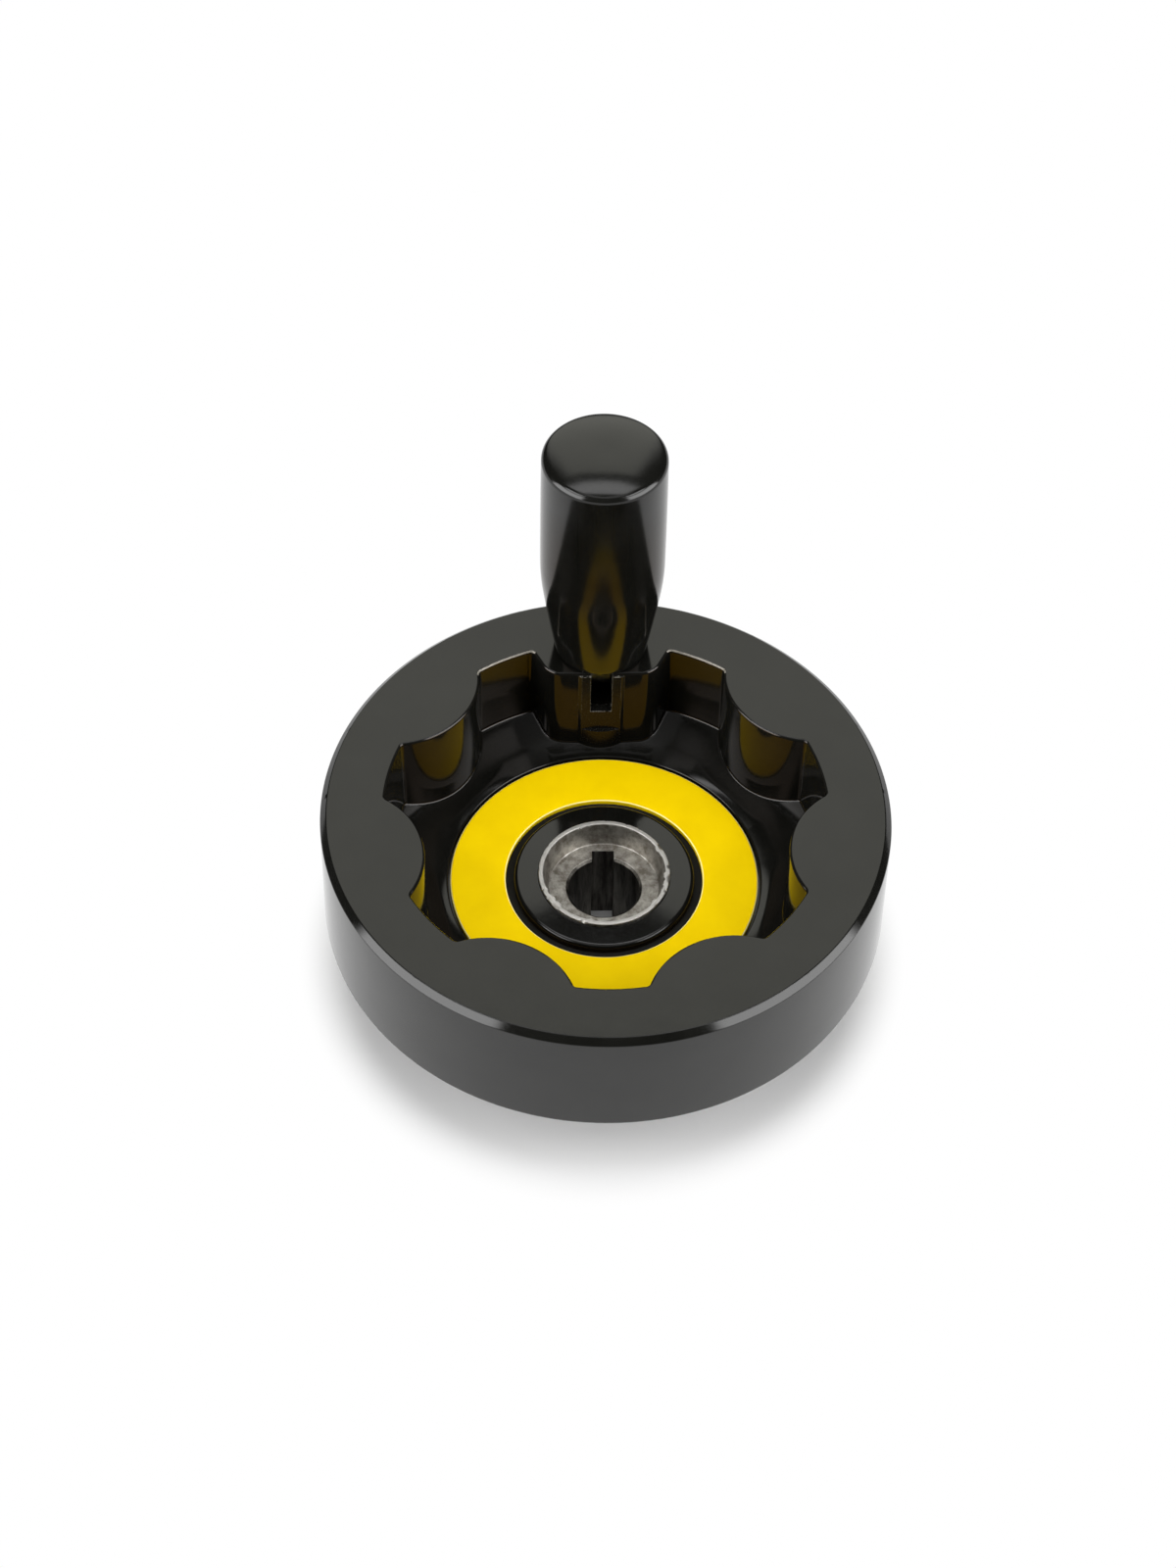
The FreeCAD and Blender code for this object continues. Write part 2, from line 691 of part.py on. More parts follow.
# Spindle: a steel shaft whose foot is milled to a tongue with a round eye


def make_spindle():
    body = new_body("spindle", ON_PIVOT)
    section = new_sketch(body, "spindle_section", "XZ_Plane")
    draw_outline(
        section,
        [
            (None, None),
            ("shaft_radius", None),
            ("shaft_radius", "clip_bottom"),
            ("groove_radius", "clip_bottom"),
            ("groove_radius", "clip_top"),
            ("shaft_radius", "clip_top"),
            ("shaft_radius", "spindle_chamfer_start"),
            ("spindle_chamfer_radius", "spindle_top"),
            (None, "spindle_top"),
        ],
    )
    revolve(body, section)

    eye = new_sketch(body, "eye_outline", "YZ_Plane")
    draw_circle(eye, None, "shaft_radius")
    extrude(body, eye, "Pad", "sizes.tongue_thickness", both_ways=True)

    for side in ("left", "right"):
        flat = new_sketch(body, f"{side}_flat_outline", "YZ_Plane", f"{side}_flat_place")
        draw_box(flat, "shaft_diameter", "-shaft_diameter", "tongue_end")
        extrude(body, flat, "Pocket", "sizes.shaft_diameter", up=side == "right")

    hole = new_sketch(body, "eye_hole_outline", "YZ_Plane")
    draw_circle(hole, None, "eye_radius")
    extrude(body, hole, "Pocket", "2 * sizes.shaft_diameter", both_ways=True)
    return body


# Retaining clip: a spring-steel ring, open at one side, in the spindle's groove


def make_retaining_clip():
    edges = ("groove_radius", "clip_radius", "clip_bottom", "clip_top")
    body = make_tube("retaining_clip", ON_PIVOT, *edges)
    gap = new_sketch(body, "clip_gap_outline", "XY_Plane", "clip_bottom")
    draw_box(gap, "clip_gap_half_width", None, "clip_radius")
    extrude(body, gap, "Pocket", "sizes.clip_thickness")
    return body


# Grip: a hollow phenolic barrel, closed and slightly domed at the top


def make_grip():
    body = new_body("grip", ON_GRIP)
    section = new_sketch(body, "grip_section", "XZ_Plane")
    draw_grip(section)
    revolve(body, section)
    for name, size, radius, height in (
        ("crown_edge", "grip_crown_round", "grip_crown_radius", "grip_height"),
        ("grip_foot_edge", "grip_base_round", "grip_base_radius", None),
    ):
        dress_edges(body, name, size, lambda edge: is_ring(edge, radius, height))
    return body


def draw_grip(sketch):
    """Barrel outline: arcs that run into each other at knee and belly, a dome, the cavity."""
    corners = [
        ("grip_base_radius", None),
        ("grip_knee_radius", "grip_knee_height"),
        ("grip_belly_radius", "grip_belly_height"),
        ("grip_crown_radius", "grip_height"),
        (None, "grip_top"),
        (None, "cavity_depth"),
        ("cavity_radius", "cavity_depth"),
        ("cavity_radius", None),
    ]
    arcs = ["foot_arc", "belly_arc", "neck_arc", "dome_arc"]
    for i, corner in enumerate(corners):
        first, last = spot(*corner), spot(*corners[(i + 1) % len(corners)])
        if i < len(arcs):
            along = last - first
            outward = FreeCAD.Vector(along.y, -along.x, 0).normalize()
            bulge = number(arcs[i]) - math.sqrt(number(arcs[i]) ** 2 - (along.Length / 2) ** 2)
            middle = (first + last) * 0.5 + outward * bulge
            sketch.addGeometry(Part.Arc(first, middle, last), False)
        else:
            sketch.addGeometry(Part.LineSegment(first, last), False)
    join_in_turn(sketch, len(corners))
    for i, corner in enumerate(corners):
        hold_point(sketch, i, START, *corner)
    for i, radius in enumerate(arcs):
        hold(sketch, "Radius", i, radius)


# Spring: a steel compression spring on the spindle inside the grip


def make_spring():
    body = new_body("spring", {"y": "handle_radius", "z": "spring_foot"})
    wire = new_sketch(body, "spring_wire_section", "XZ_Plane")
    circle = wire.addGeometry(Part.Circle(spot("spring_radius", "wire_lift"), UP, 1), False)
    hold_point(wire, circle, CENTRE, "spring_radius", "wire_lift")
    hold(wire, "Radius", circle, "wire_radius")
    coil = body.newObject("PartDesign::AdditiveHelix", "spring_coil")
    coil.Profile = wire
    coil.ReferenceAxis = (wire, ["V_Axis"])
    coil.Mode = "height-turns-angle"
    coil.setExpression("Height", "places.spring_length - 2 * places.wire_lift")
    coil.setExpression("Turns", bound("spring_turns"))
    wire.Visibility = False
    return body


pieces = [
    make_wheel(),
    make_hub_bush(),
    make_ring_plate(),
    make_hinge_block(),
    make_pivot_pin(),
    make_spindle(),
    make_retaining_clip(),
    make_stop_washer(),
    make_spring(),
    make_thrust_washer(),
    make_guide_bush(),
    make_grip(),
]
doc.recompute()

for item in doc.Objects:
    if "Invalid" in item.State or "Error" in item.State:
        raise RuntimeError(f"{item.Label}: {item.State}")
for piece in pieces:
    if piece.Shape.isNull() or not piece.Shape.isValid() or len(piece.Shape.Solids) != 1:
        raise RuntimeError(f"{piece.Label} is not one valid solid")
for piece in pieces:
    piece.Shape.exportStep(f"parts/{piece.Label}.step")
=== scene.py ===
import math

import bmesh
import bpy
from mathutils import Matrix, Vector


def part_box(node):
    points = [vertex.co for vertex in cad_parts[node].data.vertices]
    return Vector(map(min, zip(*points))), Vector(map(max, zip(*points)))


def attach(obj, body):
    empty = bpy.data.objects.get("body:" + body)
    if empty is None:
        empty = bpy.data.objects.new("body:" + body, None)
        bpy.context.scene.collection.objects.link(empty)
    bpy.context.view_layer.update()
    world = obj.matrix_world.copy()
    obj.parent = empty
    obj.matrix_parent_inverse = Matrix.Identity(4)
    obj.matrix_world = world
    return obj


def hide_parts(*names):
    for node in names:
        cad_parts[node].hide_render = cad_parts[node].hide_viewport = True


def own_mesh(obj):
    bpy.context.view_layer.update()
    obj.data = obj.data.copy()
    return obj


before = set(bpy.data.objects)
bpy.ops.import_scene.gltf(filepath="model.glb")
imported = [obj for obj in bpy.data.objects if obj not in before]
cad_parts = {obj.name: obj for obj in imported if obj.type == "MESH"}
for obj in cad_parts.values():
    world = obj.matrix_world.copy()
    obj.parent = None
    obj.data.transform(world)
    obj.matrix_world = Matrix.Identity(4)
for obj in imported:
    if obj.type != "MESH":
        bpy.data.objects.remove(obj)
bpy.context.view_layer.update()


# Wheel: one compression moulding of black phenolic resin, with a deep smooth rim, seven finger
# lobes inside it, a web, a boss and a collar. The mould was polished; the seat and the slot under
# the handle were milled afterwards. Its surface is one net of rows round the bowl's own outline.

MM = 0.001
STEP = 0.42
RIM_TOP, RIM_FOOT, WEB_TOP = 51.0, 21.5, 26.3
WALL_RADIUS = 48.2
LOBE_PITCH = 2 * math.pi / 7


def arc_points(centre, first, last):
    """Points from first to last round a centre, the shorter way; last itself is left out."""
    radius, start = abs(first - centre), first - centre
    swing = (last - centre) / start
    turn = math.atan2(swing.imag, swing.real)
    count = max(2, math.ceil(abs(turn) * radius / STEP), math.ceil(abs(turn) / 0.16))
    return [centre + start * complex(math.cos(a), math.sin(a))
            for a in (turn * i / count for i in range(count))]


def line_points(first, last):
    """Points from first to last in a straight line; last itself is left out."""
    count = max(1, math.ceil(abs(last - first) / STEP))
    return [first + (last - first) * i / count for i in range(count)]


def bowl_outline():
    """Half of the bowl's outline in mm as complex numbers, from the handle round by +X."""
    # The handle lobe: half of its flat front, its round corner, and its side, which slants
    # from +Y and whose line meets the wall at root_angle
    front, corner, wall_round = 38.6, 4.8, 1.0
    slant = math.radians(27.5)
    along = complex(math.sin(slant), math.cos(slant))
    free = complex(math.cos(slant), -math.sin(slant))
    root_angle = math.radians(18.7)
    root = WALL_RADIUS * complex(math.sin(root_angle), math.cos(root_angle))
    height = front + corner
    centre = complex(root.real + ((height - root.imag) * along.real - corner) / free.real, height)
    points = line_points(complex(0, front), complex(centre.real, front))
    points += arc_points(centre, complex(centre.real, front), centre + corner * free)

    # The side runs out into the wall in a small hollow round
    near_root = root + wall_round * free
    half = (near_root.conjugate() * along).real
    reach = WALL_RADIUS - wall_round
    shift = math.sqrt(half**2 - abs(near_root) ** 2 + reach**2) - half
    turn = near_root + shift * along
    foot, wall = turn - wall_round * free, turn / abs(turn) * WALL_RADIUS
    points += line_points(centre + corner * free, foot) + arc_points(turn, foot, wall)

    # Three plain finger lobes: each is an arc, with a hollow round to the wall on both sides
    half_angle, lobe_reach = math.radians(16.4), 40.6
    chord = WALL_RADIUS * math.sin(half_angle)
    sagitta = WALL_RADIUS * math.cos(half_angle) - lobe_reach
    radius = (chord**2 + sagitta**2) / (2 * sagitta)
    middle = lobe_reach + radius
    spread = (reach**2 + middle**2 - (radius + wall_round) ** 2) / (2 * reach * middle)
    corner_angle = math.acos(spread)
    for number in (1, 2, 3):
        axis = number * LOBE_PITCH
        heading = complex(math.sin(axis), math.cos(axis))
        lobe = middle * heading
        before = reach * complex(math.sin(axis - corner_angle), math.cos(axis - corner_angle))
        after = reach * complex(math.sin(axis + corner_angle), math.cos(axis + corner_angle))
        start, end = before / reach * WALL_RADIUS, after / reach * WALL_RADIUS
        touch_in = lobe + radius * (before - lobe) / abs(before - lobe)
        touch_out = lobe + radius * (after - lobe) / abs(after - lobe)
        points += arc_points(0, wall, start) + arc_points(before, start, touch_in)
        points += arc_points(lobe, touch_in, lobe_reach * heading)
        points += arc_points(lobe, lobe_reach * heading, touch_out)
        points += arc_points(after, touch_out, end)
        wall = end
    return points + arc_points(0, wall, complex(0, -WALL_RADIUS)) + [complex(0, -WALL_RADIUS)]


def web_height(radius):
    """Height of the bowl's floor: flat by the ring plate, then a cone up to the wall.

    The cone climbs 0.336 mm for each mm outwards, and bends into the flat from start to end.
    """
    rise, start, end = 0.336, 35.5, 36.7
    if radius <= start:
        return WEB_TOP
    if radius >= end:
        return WEB_TOP + rise * (radius - (start + end) / 2)
    return WEB_TOP + rise * (radius - start) ** 2 / (2 * (end - start))


def rounded(radius, height, size, start, end, steps):
    """Points of a round edge in a section, with its centre at (radius, height)."""
    angles = (math.radians(start + (end - start) * i / steps) for i in range(steps + 1))
    return [(radius + size * math.cos(a), height + size * math.sin(a)) for a in angles]


def wheel_rows():
    """Rows of points, each once round the wheel, that close into one skin."""
    half = bowl_outline()
    outline = half + [complex(-p.real, p.imag) for p in half[-2:0:-1]]
    count = len(outline)
    normals = []
    for i, point in enumerate(outline):
        along = outline[(i + 1) % count] - outline[i - 1]
        normals.append(along / abs(along) * -1j)
    headings = [p / abs(p) for p in outline]

    def ring(radius, height):
        return [(h.real * radius, h.imag * radius, height) for h in headings]

    # The underside, from the collar's end outwards, then up the outside of the rim
    under = [(14.75, 3.0), *rounded(17.0, 4.5, 1.5, -90, -4, 5), (20.0, 22.5), (30.0, 22.5)]
    under += [(39.5, 22.5), (39.5, 21.5), (50.0, 21.5), *rounded(61.7, 22.3, 0.8, -90, 0, 4)]
    draft = 0.01746
    under += [(62.5 - (z - RIM_FOOT) * draft, z) for z in (29, 36, 43, 49.5)]
    under += [(61.98, 49.64), (61.9, 49.75), (60.73, 50.92), (60.62, 50.985), (60.45, 51.0)]
    rows = [ring(*place) for place in under]

    # The round edge of the bowl's mouth
    edge = 0.6
    for a in (math.radians(15 * i) for i in range(7)):
        offset, height = edge * (math.sin(a) - 1), RIM_TOP - edge + edge * math.cos(a)
        moved = [p + n * offset for p, n in zip(outline, normals)]
        rows.append([(p.real, p.imag, height) for p in moved])

    # The bowl's wall, down to a small round corner that meets the sloping web
    corner = 0.5
    feet = []
    for point, normal, heading in zip(outline, normals, headings):
        inward = -(normal.conjugate() * heading).real
        base = web_height(abs(point))
        ahead = base - web_height(abs(point + normal * corner))
        slope = math.atan(max(0.0, ahead) / corner) if inward > 0 else 0
        feet.append((base - corner * math.tan(slope) + corner / math.cos(slope), slope))
    for part in (0.15, 0.35, 0.65, 1.0):
        top = RIM_TOP - edge
        rows.append([(p.real, p.imag, top + (f[0] - top) * part) for p, f in zip(outline, feet)])
    for step in range(1, 6):
        row = []
        for point, normal, (centre, slope) in zip(outline, normals, feet):
            turn = (math.pi / 2 - slope) * step / 5
            moved = point + normal * corner * (1 - math.cos(turn))
            row.append((moved.real, moved.imag, centre - corner * math.sin(turn)))
        rows.append(row)

    # The web inwards to the ring plate's recess, the recess's floor and the boss
    recess, edge = 34.9, 0.35
    inner = rows[-1]
    for part in (0.03, 0.08, 0.16, 0.26, 0.38, 0.5, 0.64, 0.8, 1.0):
        row = []
        for x, y, z in inner:
            away = math.hypot(x, y)
            radius = away + (recess + edge - away) * part
            ground = web_height(radius) + (z - web_height(away)) * (1 - part) ** 8
            row.append((x / away * radius, y / away * radius, ground))
        rows.append(row)
    floor = rounded(recess + edge, WEB_TOP - edge, edge, 112, 180, 3)
    floor += [(recess, 24.95), (28.0, 24.95), (20.2, 24.95)]
    floor += [*rounded(19.2, 25.92, 1.0, 0, 86, 7), (19.12, 26.927), (17.0, 27.06)]
    floor += [(14.75, 27.2), (14.75, 15.0)]
    return rows + [ring(*place) for place in floor]


def skin(name, rows):
    """A mesh object from rows of points in mm; rows and columns both close on themselves."""
    mesh = bpy.data.meshes.new(name)
    width = len(rows[0])
    faces = []
    for r in range(len(rows)):
        low, high = r * width, (r + 1) % len(rows) * width
        faces += [(low + i, low + (i + 1) % width, high + (i + 1) % width, high + i)
                  for i in range(width)]
    mesh.from_pydata([[c * MM for c in p] for row in rows for p in row], [], faces)
    thing = bpy.data.objects.new(name, mesh)
    bpy.context.scene.collection.objects.link(thing)
    return thing


def face_outwards(thing):
    """Join the points that coincide and turn all faces outwards."""
    form = bmesh.new()
    form.from_mesh(thing.data)
    bmesh.ops.remove_doubles(form, verts=form.verts, dist=1e-7)
    bmesh.ops.recalc_face_normals(form, faces=form.faces)
    form.to_mesh(thing.data)
    form.free()


def prism(name, low, high, *outlines):
    """Closed upright blocks over outlines of (x, y) points in mm, as one object."""
    form = bmesh.new()
    for outline in outlines:
        floor = form.faces.new([form.verts.new((x * MM, y * MM, low * MM)) for x, y in outline])
        lifted = bmesh.ops.extrude_face_region(form, geom=[floor])["geom"]
        top = [v for v in lifted if isinstance(v, bmesh.types.BMVert)]
        bmesh.ops.translate(form, verts=top, vec=(0, 0, (high - low) * MM))
    bmesh.ops.recalc_face_normals(form, faces=form.faces)
    mesh = bpy.data.meshes.new(name)
    form.to_mesh(mesh)
    form.free()
    thing = bpy.data.objects.new(name, mesh)
    bpy.context.scene.collection.objects.link(thing)
    return thing


def settle(thing):
    """Turn a thing and its modifiers into a plain mesh."""
    ready = thing.evaluated_get(bpy.context.evaluated_depsgraph_get())
    mesh = bpy.data.meshes.new_from_object(ready)
    thing.modifiers.clear()
    thing.data = mesh


def shape_with(thing, operation, tools):
    """Add tools to a thing or cut them out of it, and throw the tools away."""
    for tool in tools:
        change = thing.modifiers.new(operation, "BOOLEAN")
        change.operation = operation
        change.solver = "MANIFOLD"
        change.object = tool
    settle(thing)
    for tool in tools:
        bpy.data.objects.remove(tool)


def smooth(thing, angle):
    """Smooth shading across every edge flatter than an angle in degrees."""
    thing.data.shade_smooth()
    form = bmesh.new()
    form.from_mesh(thing.data)
    for edge in form.edges:
        sharp = len(edge.link_faces) == 2 and edge.calc_face_angle(0) > math.radians(angle)
        edge.smooth = not sharp
    form.to_mesh(thing.data)
    form.free()
    weigh = thing.modifiers.new("flat_faces_lead", "WEIGHTED_NORMAL")
    weigh.keep_sharp = True
    weigh.weight = 80
    settle(thing)


def box_outline(half_width, front, back):
    return [(-half_width, front), (half_width, front), (half_width, back), (-half_width, back)]


def circle_outline(centre, radius, count=96):
    turns = (2 * math.pi * i / count for i in range(count))
    return [(radius * math.cos(a), centre + radius * math.sin(a)) for a in turns]


def hollow_outlines():
    """The two halves of the space cored out of a lobe on +Y, left and right of its rib."""
    middle, radius, outer, rib = 59.9034, 14.7034, 57.0, 1.5
    meet = (outer**2 - radius**2 + middle**2) / (2 * middle)
    corner = complex(math.sqrt(outer**2 - meet**2), meet)
    inner_rib = complex(rib, middle - math.sqrt(radius**2 - rib**2))
    outer_rib = complex(rib, math.sqrt(outer**2 - rib**2))
    half = arc_points(complex(0, middle), inner_rib, corner)
    half += [*arc_points(0, corner, outer_rib), outer_rib]
    return [[(side * p.real, p.imag) for p in half] for side in (1, -1)]


def linear(code):
    """sRGB hex to linear red, green, blue and alpha."""
    parts = [int(code[i:i + 2], 16) / 255 for i in (0, 2, 4)]
    return [p / 12.92 if p <= 0.04045 else ((p + 0.055) / 1.055) ** 2.4 for p in parts] + [1.0]


def add_node(tree, kind, settings=None, **inputs):
    """A node with its settings; an input takes a value or the socket that feeds it.

    A colour ramp's two stops are its setting "stops", as (position, sRGB hex).
    """
    node = tree.nodes.new(kind)
    for name, value in (settings or {}).items():
        if name == "stops":
            for stop, (position, code) in zip(node.color_ramp.elements, value):
                stop.position, stop.color = position, linear(code)
        else:
            setattr(node, name, value)
    for name, value in inputs.items():
        key = int(name[1:]) if name[0] == "i" and name[1:].isdigit() else name.replace("_", " ")
        if isinstance(value, bpy.types.NodeSocket):
            tree.links.new(value, node.inputs[key])
        else:
            node.inputs[key].default_value = value
    return node


def new_material(name):
    """An empty material, its node tree and the place on the piece that patterns read."""
    material = bpy.data.materials.new(name)
    material.use_nodes = True
    tree = material.node_tree
    tree.nodes.clear()
    place = add_node(tree, "ShaderNodeTexCoord").outputs["Object"]
    return material, tree, place


def from_axis(tree, place):
    """A place's x, y and z, and its distance from the upright axis."""
    x, y, z = add_node(tree, "ShaderNodeSeparateXYZ", Vector=place).outputs
    flat = add_node(tree, "ShaderNodeCombineXYZ", X=x, Y=y)
    away = add_node(tree, "ShaderNodeVectorMath", {"operation": "LENGTH"}, i0=flat.outputs[0])
    return x, y, z, away.outputs["Value"]


def only_within(tree, part, *ranges):
    """A part where every value lies between its two limits in mm, and nought elsewhere."""
    for value, low, high in ranges:
        for comparison, limit in (("GREATER_THAN", low), ("LESS_THAN", high)):
            test = add_node(tree, "ShaderNodeMath", {"operation": comparison}, i0=value,
                            i1=limit * MM)
            part = add_node(tree, "ShaderNodeMath", {"operation": "MULTIPLY"}, i0=part,
                            i1=test.outputs[0]).outputs[0]
    return part


def phenolic(name, gloss, milled=False):
    """Moulded phenolic: black, with the hard clear gloss of a polished mould.

    Flow marks about 9 mm wide barely change its black. Dust and scuffs dull the gloss here and
    there; they are drawn 0.35 mm wide, coarser than the real ones, so that they show. Edges are
    rounded off by 0.2 mm of wear. Walls and the lower grip, which hands keep greasy, mirror less
    and warmer than the clean faces on top. Where it was milled for the handle it is duller, and
    its edges are chipped pale. With milled set, a pale glint is also painted on the upper edge of
    the two pockets beside the handle: a painted highlight.
    """
    material, tree, place = new_material(name)
    flow = add_node(tree, "ShaderNodeTexNoise", Vector=place, Scale=1 / (9 * MM), Detail=3.0)
    dust = add_node(tree, "ShaderNodeTexNoise", Vector=place, Scale=1 / (0.35 * MM), Detail=4.0)
    colour = add_node(tree, "ShaderNodeValToRGB", {"stops": [(0.35, "0C0C0A"), (0.7, "11110F")]},
                      Fac=flow.outputs[0]).outputs[0]
    rough = add_node(tree, "ShaderNodeMapRange", Value=dust.outputs[0], From_Min=0.45,
                     From_Max=0.75, To_Min=gloss, To_Max=gloss + 0.06).outputs[0]
    bump = add_node(tree, "ShaderNodeBump", Height=flow.outputs[0], Strength=0.1,
                    Distance=0.2 * MM)
    edge = add_node(tree, "ShaderNodeBevel", {"samples": 6}, Radius=0.22 * MM,
                    Normal=bump.outputs[0])
    x, y, z, away = from_axis(tree, place)
    if milled:
        # How much of a worn, chipped edge is here, from the bend of a rounded normal
        turned = add_node(tree, "ShaderNodeBevel", {"samples": 6}, Radius=0.3 * MM)
        true = add_node(tree, "ShaderNodeNewGeometry").outputs["True Normal"]
        bend = add_node(tree, "ShaderNodeVectorMath", {"operation": "DOT_PRODUCT"},
                        i0=turned.outputs[0], i1=true)
        sharp = add_node(tree, "ShaderNodeMapRange", Value=bend.outputs["Value"], From_Min=0.97,
                         From_Max=0.85).outputs[0]
        flakes = add_node(tree, "ShaderNodeMapRange", Value=dust.outputs[0], From_Min=0.5,
                          From_Max=0.6)
        flaked = add_node(tree, "ShaderNodeMath", {"operation": "MULTIPLY"}, i0=sharp,
                          i1=flakes.outputs[0])
        chips = only_within(tree, flaked.outputs[0], (x, -7, 7), (y, 36.5, 52), (z, 36, 60))
        # A painted highlight: a pale glint on the upper edge of the two pockets beside the handle
        painted_pocket_glint = only_within(tree, dust.outputs[0], (y, 38.5, 60), (away, 47.6, 49),
                            (z, 50.68, 50.97))
        # Pale where the edges are chipped, which is wear, and where the glint is painted as a
        # highlight
        pale = add_node(tree, "ShaderNodeMath", {"operation": "MAXIMUM"}, i0=chips, i1=painted_pocket_glint)
        colour = add_node(tree, "ShaderNodeMixRGB", Fac=pale.outputs[0], Color1=colour,
                          Color2=linear("A8A398")).outputs[0]
        # The milled front of the handle lobe, and the unpolished groove outside the boss
        flat = only_within(tree, 0.16, (x, -4.6, 4.6), (y, 36.5, 52), (z, 28, 60))
        groove = only_within(tree, 0.9, (away, 20, 22.3), (z, 0, 25.8))
        duller = add_node(tree, "ShaderNodeMath", {"operation": "ADD"}, i0=rough, i1=flat)
        rough = add_node(tree, "ShaderNodeMath", {"operation": "MAXIMUM"}, i0=duller.outputs[0],
                         i1=groove).outputs[0]
        # Walls inside the rim, apart from their edges
        facing = add_node(tree, "ShaderNodeTexCoord").outputs["Normal"]
        upright = add_node(tree, "ShaderNodeSeparateXYZ", Vector=facing)
        wall = add_node(tree, "ShaderNodeMapRange", Value=upright.outputs[2], From_Min=0.75,
                        From_Max=0.35)
        kept = add_node(tree, "ShaderNodeMath", {"operation": "SUBTRACT"}, i0=1.0, i1=sharp)
        held = add_node(tree, "ShaderNodeMath", {"operation": "MULTIPLY"}, i0=wall.outputs[0],
                        i1=kept.outputs[0])
        handled = only_within(tree, held.outputs[0], (away, 0, 53.5))
    else:
        handled = add_node(tree, "ShaderNodeMapRange", Value=z, From_Min=102 * MM,
                           From_Max=84 * MM).outputs[0]
    mirror = add_node(tree, "ShaderNodeMapRange", Value=handled, To_Min=0.5,
                      To_Max=0.17 if milled else 0.38)
    tint = add_node(tree, "ShaderNodeMixRGB", Fac=handled, Color1=linear("FFFFFF"),
                    Color2=linear("F0B478" if milled else "C09C7C"))
    shader = add_node(tree, "ShaderNodeBsdfPrincipled", Base_Color=colour, Roughness=rough,
                      IOR=1.47, Normal=edge.outputs[0], Specular_IOR_Level=mirror.outputs[0],
                      Specular_Tint=tint.outputs[0])
    add_node(tree, "ShaderNodeOutputMaterial", Surface=shader.outputs[0])
    return material


def dress(thing, material, body, *nodes):
    """Give a piece its material, let it ride on a body and stand for CAD nodes."""
    thing.data.materials.clear()
    thing.data.materials.append(material)
    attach(thing, body)
    if nodes:
        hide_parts(*nodes)


def new_tree(name, sizes):
    """A node tree for shapes with its named inputs; gives the tree and those inputs."""
    tree = bpy.data.node_groups.new(name, "GeometryNodeTree")
    tree.interface.new_socket("Geometry", in_out="INPUT", socket_type="NodeSocketGeometry")
    for label, kind in sizes.items():
        tree.interface.new_socket(label, in_out="INPUT", socket_type=f"NodeSocket{kind}")
    tree.interface.new_socket("Geometry", in_out="OUTPUT", socket_type="NodeSocketGeometry")
    return tree, tree.nodes.new("NodeGroupInput").outputs


def close_tree(tree, geometry, material):
    """End a tree in plain mesh with its material."""
    real = add_node(tree, "GeometryNodeRealizeInstances", Geometry=geometry)
    done = add_node(tree, "GeometryNodeSetMaterial", Geometry=real.outputs[0], Material=material)
    add_node(tree, "NodeGroupOutput", Geometry=done.outputs[0])


def grow(thing, tree, **sizes):
    """Run a tree on a thing with its sizes and keep the plain mesh."""
    maker = thing.modifiers.new(tree.name, "NODES")
    maker.node_group = tree
    for socket in tree.interface.items_tree:
        if socket.in_out == "INPUT" and socket.name in sizes:
            maker[socket.identifier] = sizes[socket.name]
    settle(thing)


def round_the_axis():
    """Copies of a cutter on +Y, one behind each plain finger lobe."""
    tree, given = new_tree("round_the_axis", {"Count": "Int", "Pitch": "Float",
                                              "Finish": "Material"})
    places = add_node(tree, "GeometryNodePoints", Count=given["Count"])
    index = add_node(tree, "GeometryNodeInputIndex")
    step = add_node(tree, "ShaderNodeMath", {"operation": "ADD"}, i0=index.outputs[0], i1=1.0)
    angle = add_node(tree, "ShaderNodeMath", {"operation": "MULTIPLY"}, i0=step.outputs[0],
                     i1=given["Pitch"])
    turn = add_node(tree, "ShaderNodeCombineXYZ", Z=angle.outputs[0])
    copies = add_node(tree, "GeometryNodeInstanceOnPoints", Points=places.outputs[0],
                      Instance=given["Geometry"], Rotation=turn.outputs[0])
    close_tree(tree, copies.outputs[0], given["Finish"])
    return tree


wheel_finish = phenolic("phenolic_wheel_gloss", 0.08, milled=True)
wheel = skin("wheel_moulding", wheel_rows())
face_outwards(wheel)
HANDLE_Y = 48.3

# The round column under the handle, with fillets where it leaves the lobe's flat front
blend = [(4.8, 38.4), (5.07, 38.51), (5.37, 38.58), (5.67, 38.6), (5.67, 40.0)]
blend = [(-x, y) for x, y in blend[::-1]] + blend
shape_with(wheel, "UNION", [prism("column", 23.5, 50.2, circle_outline(HANDLE_Y, 11, 160)),
                            prism("column_blend", 23.5, 32.5, blend)])

# What is milled or cored away: seat, slot, the hinge block's bore and six hollow lobes
cores = prism("lobe_cores", 20, 46, *hollow_outlines())
grow(cores, round_the_axis(), Count=6, Pitch=LOBE_PITCH, Finish=wheel_finish)
shape_with(wheel, "DIFFERENCE", [
    prism("seat", 32.5, 56, box_outline(11, 31, 38.2)),
    prism("slot", 38.5, 56, box_outline(2.4, 31, 52.8)),
    prism("block_bore", 20, 48, circle_outline(HANDLE_Y, 8)),
    cores,
])
smooth(wheel, 34)
dress(wheel, wheel_finish, "wheel", "wheel")


# Hub bush: a bush turned from free-cutting steel and moulded into the hub. Its mouth is
# counterbored for a washer and screw, its bore has one broached keyway. It is left bare, with
# turning marks and a nicked thin lip.


def lathe(name, profile, count, centre=0.0):
    """A piece turned about an upright axis at (0, centre) from a section in mm."""
    angles = [2 * math.pi * i / count for i in range(count)]
    rows = [[(r * math.cos(a), centre + r * math.sin(a), z) for a in angles] for r, z in profile]
    thing = skin(name, rows)
    face_outwards(thing)
    return thing


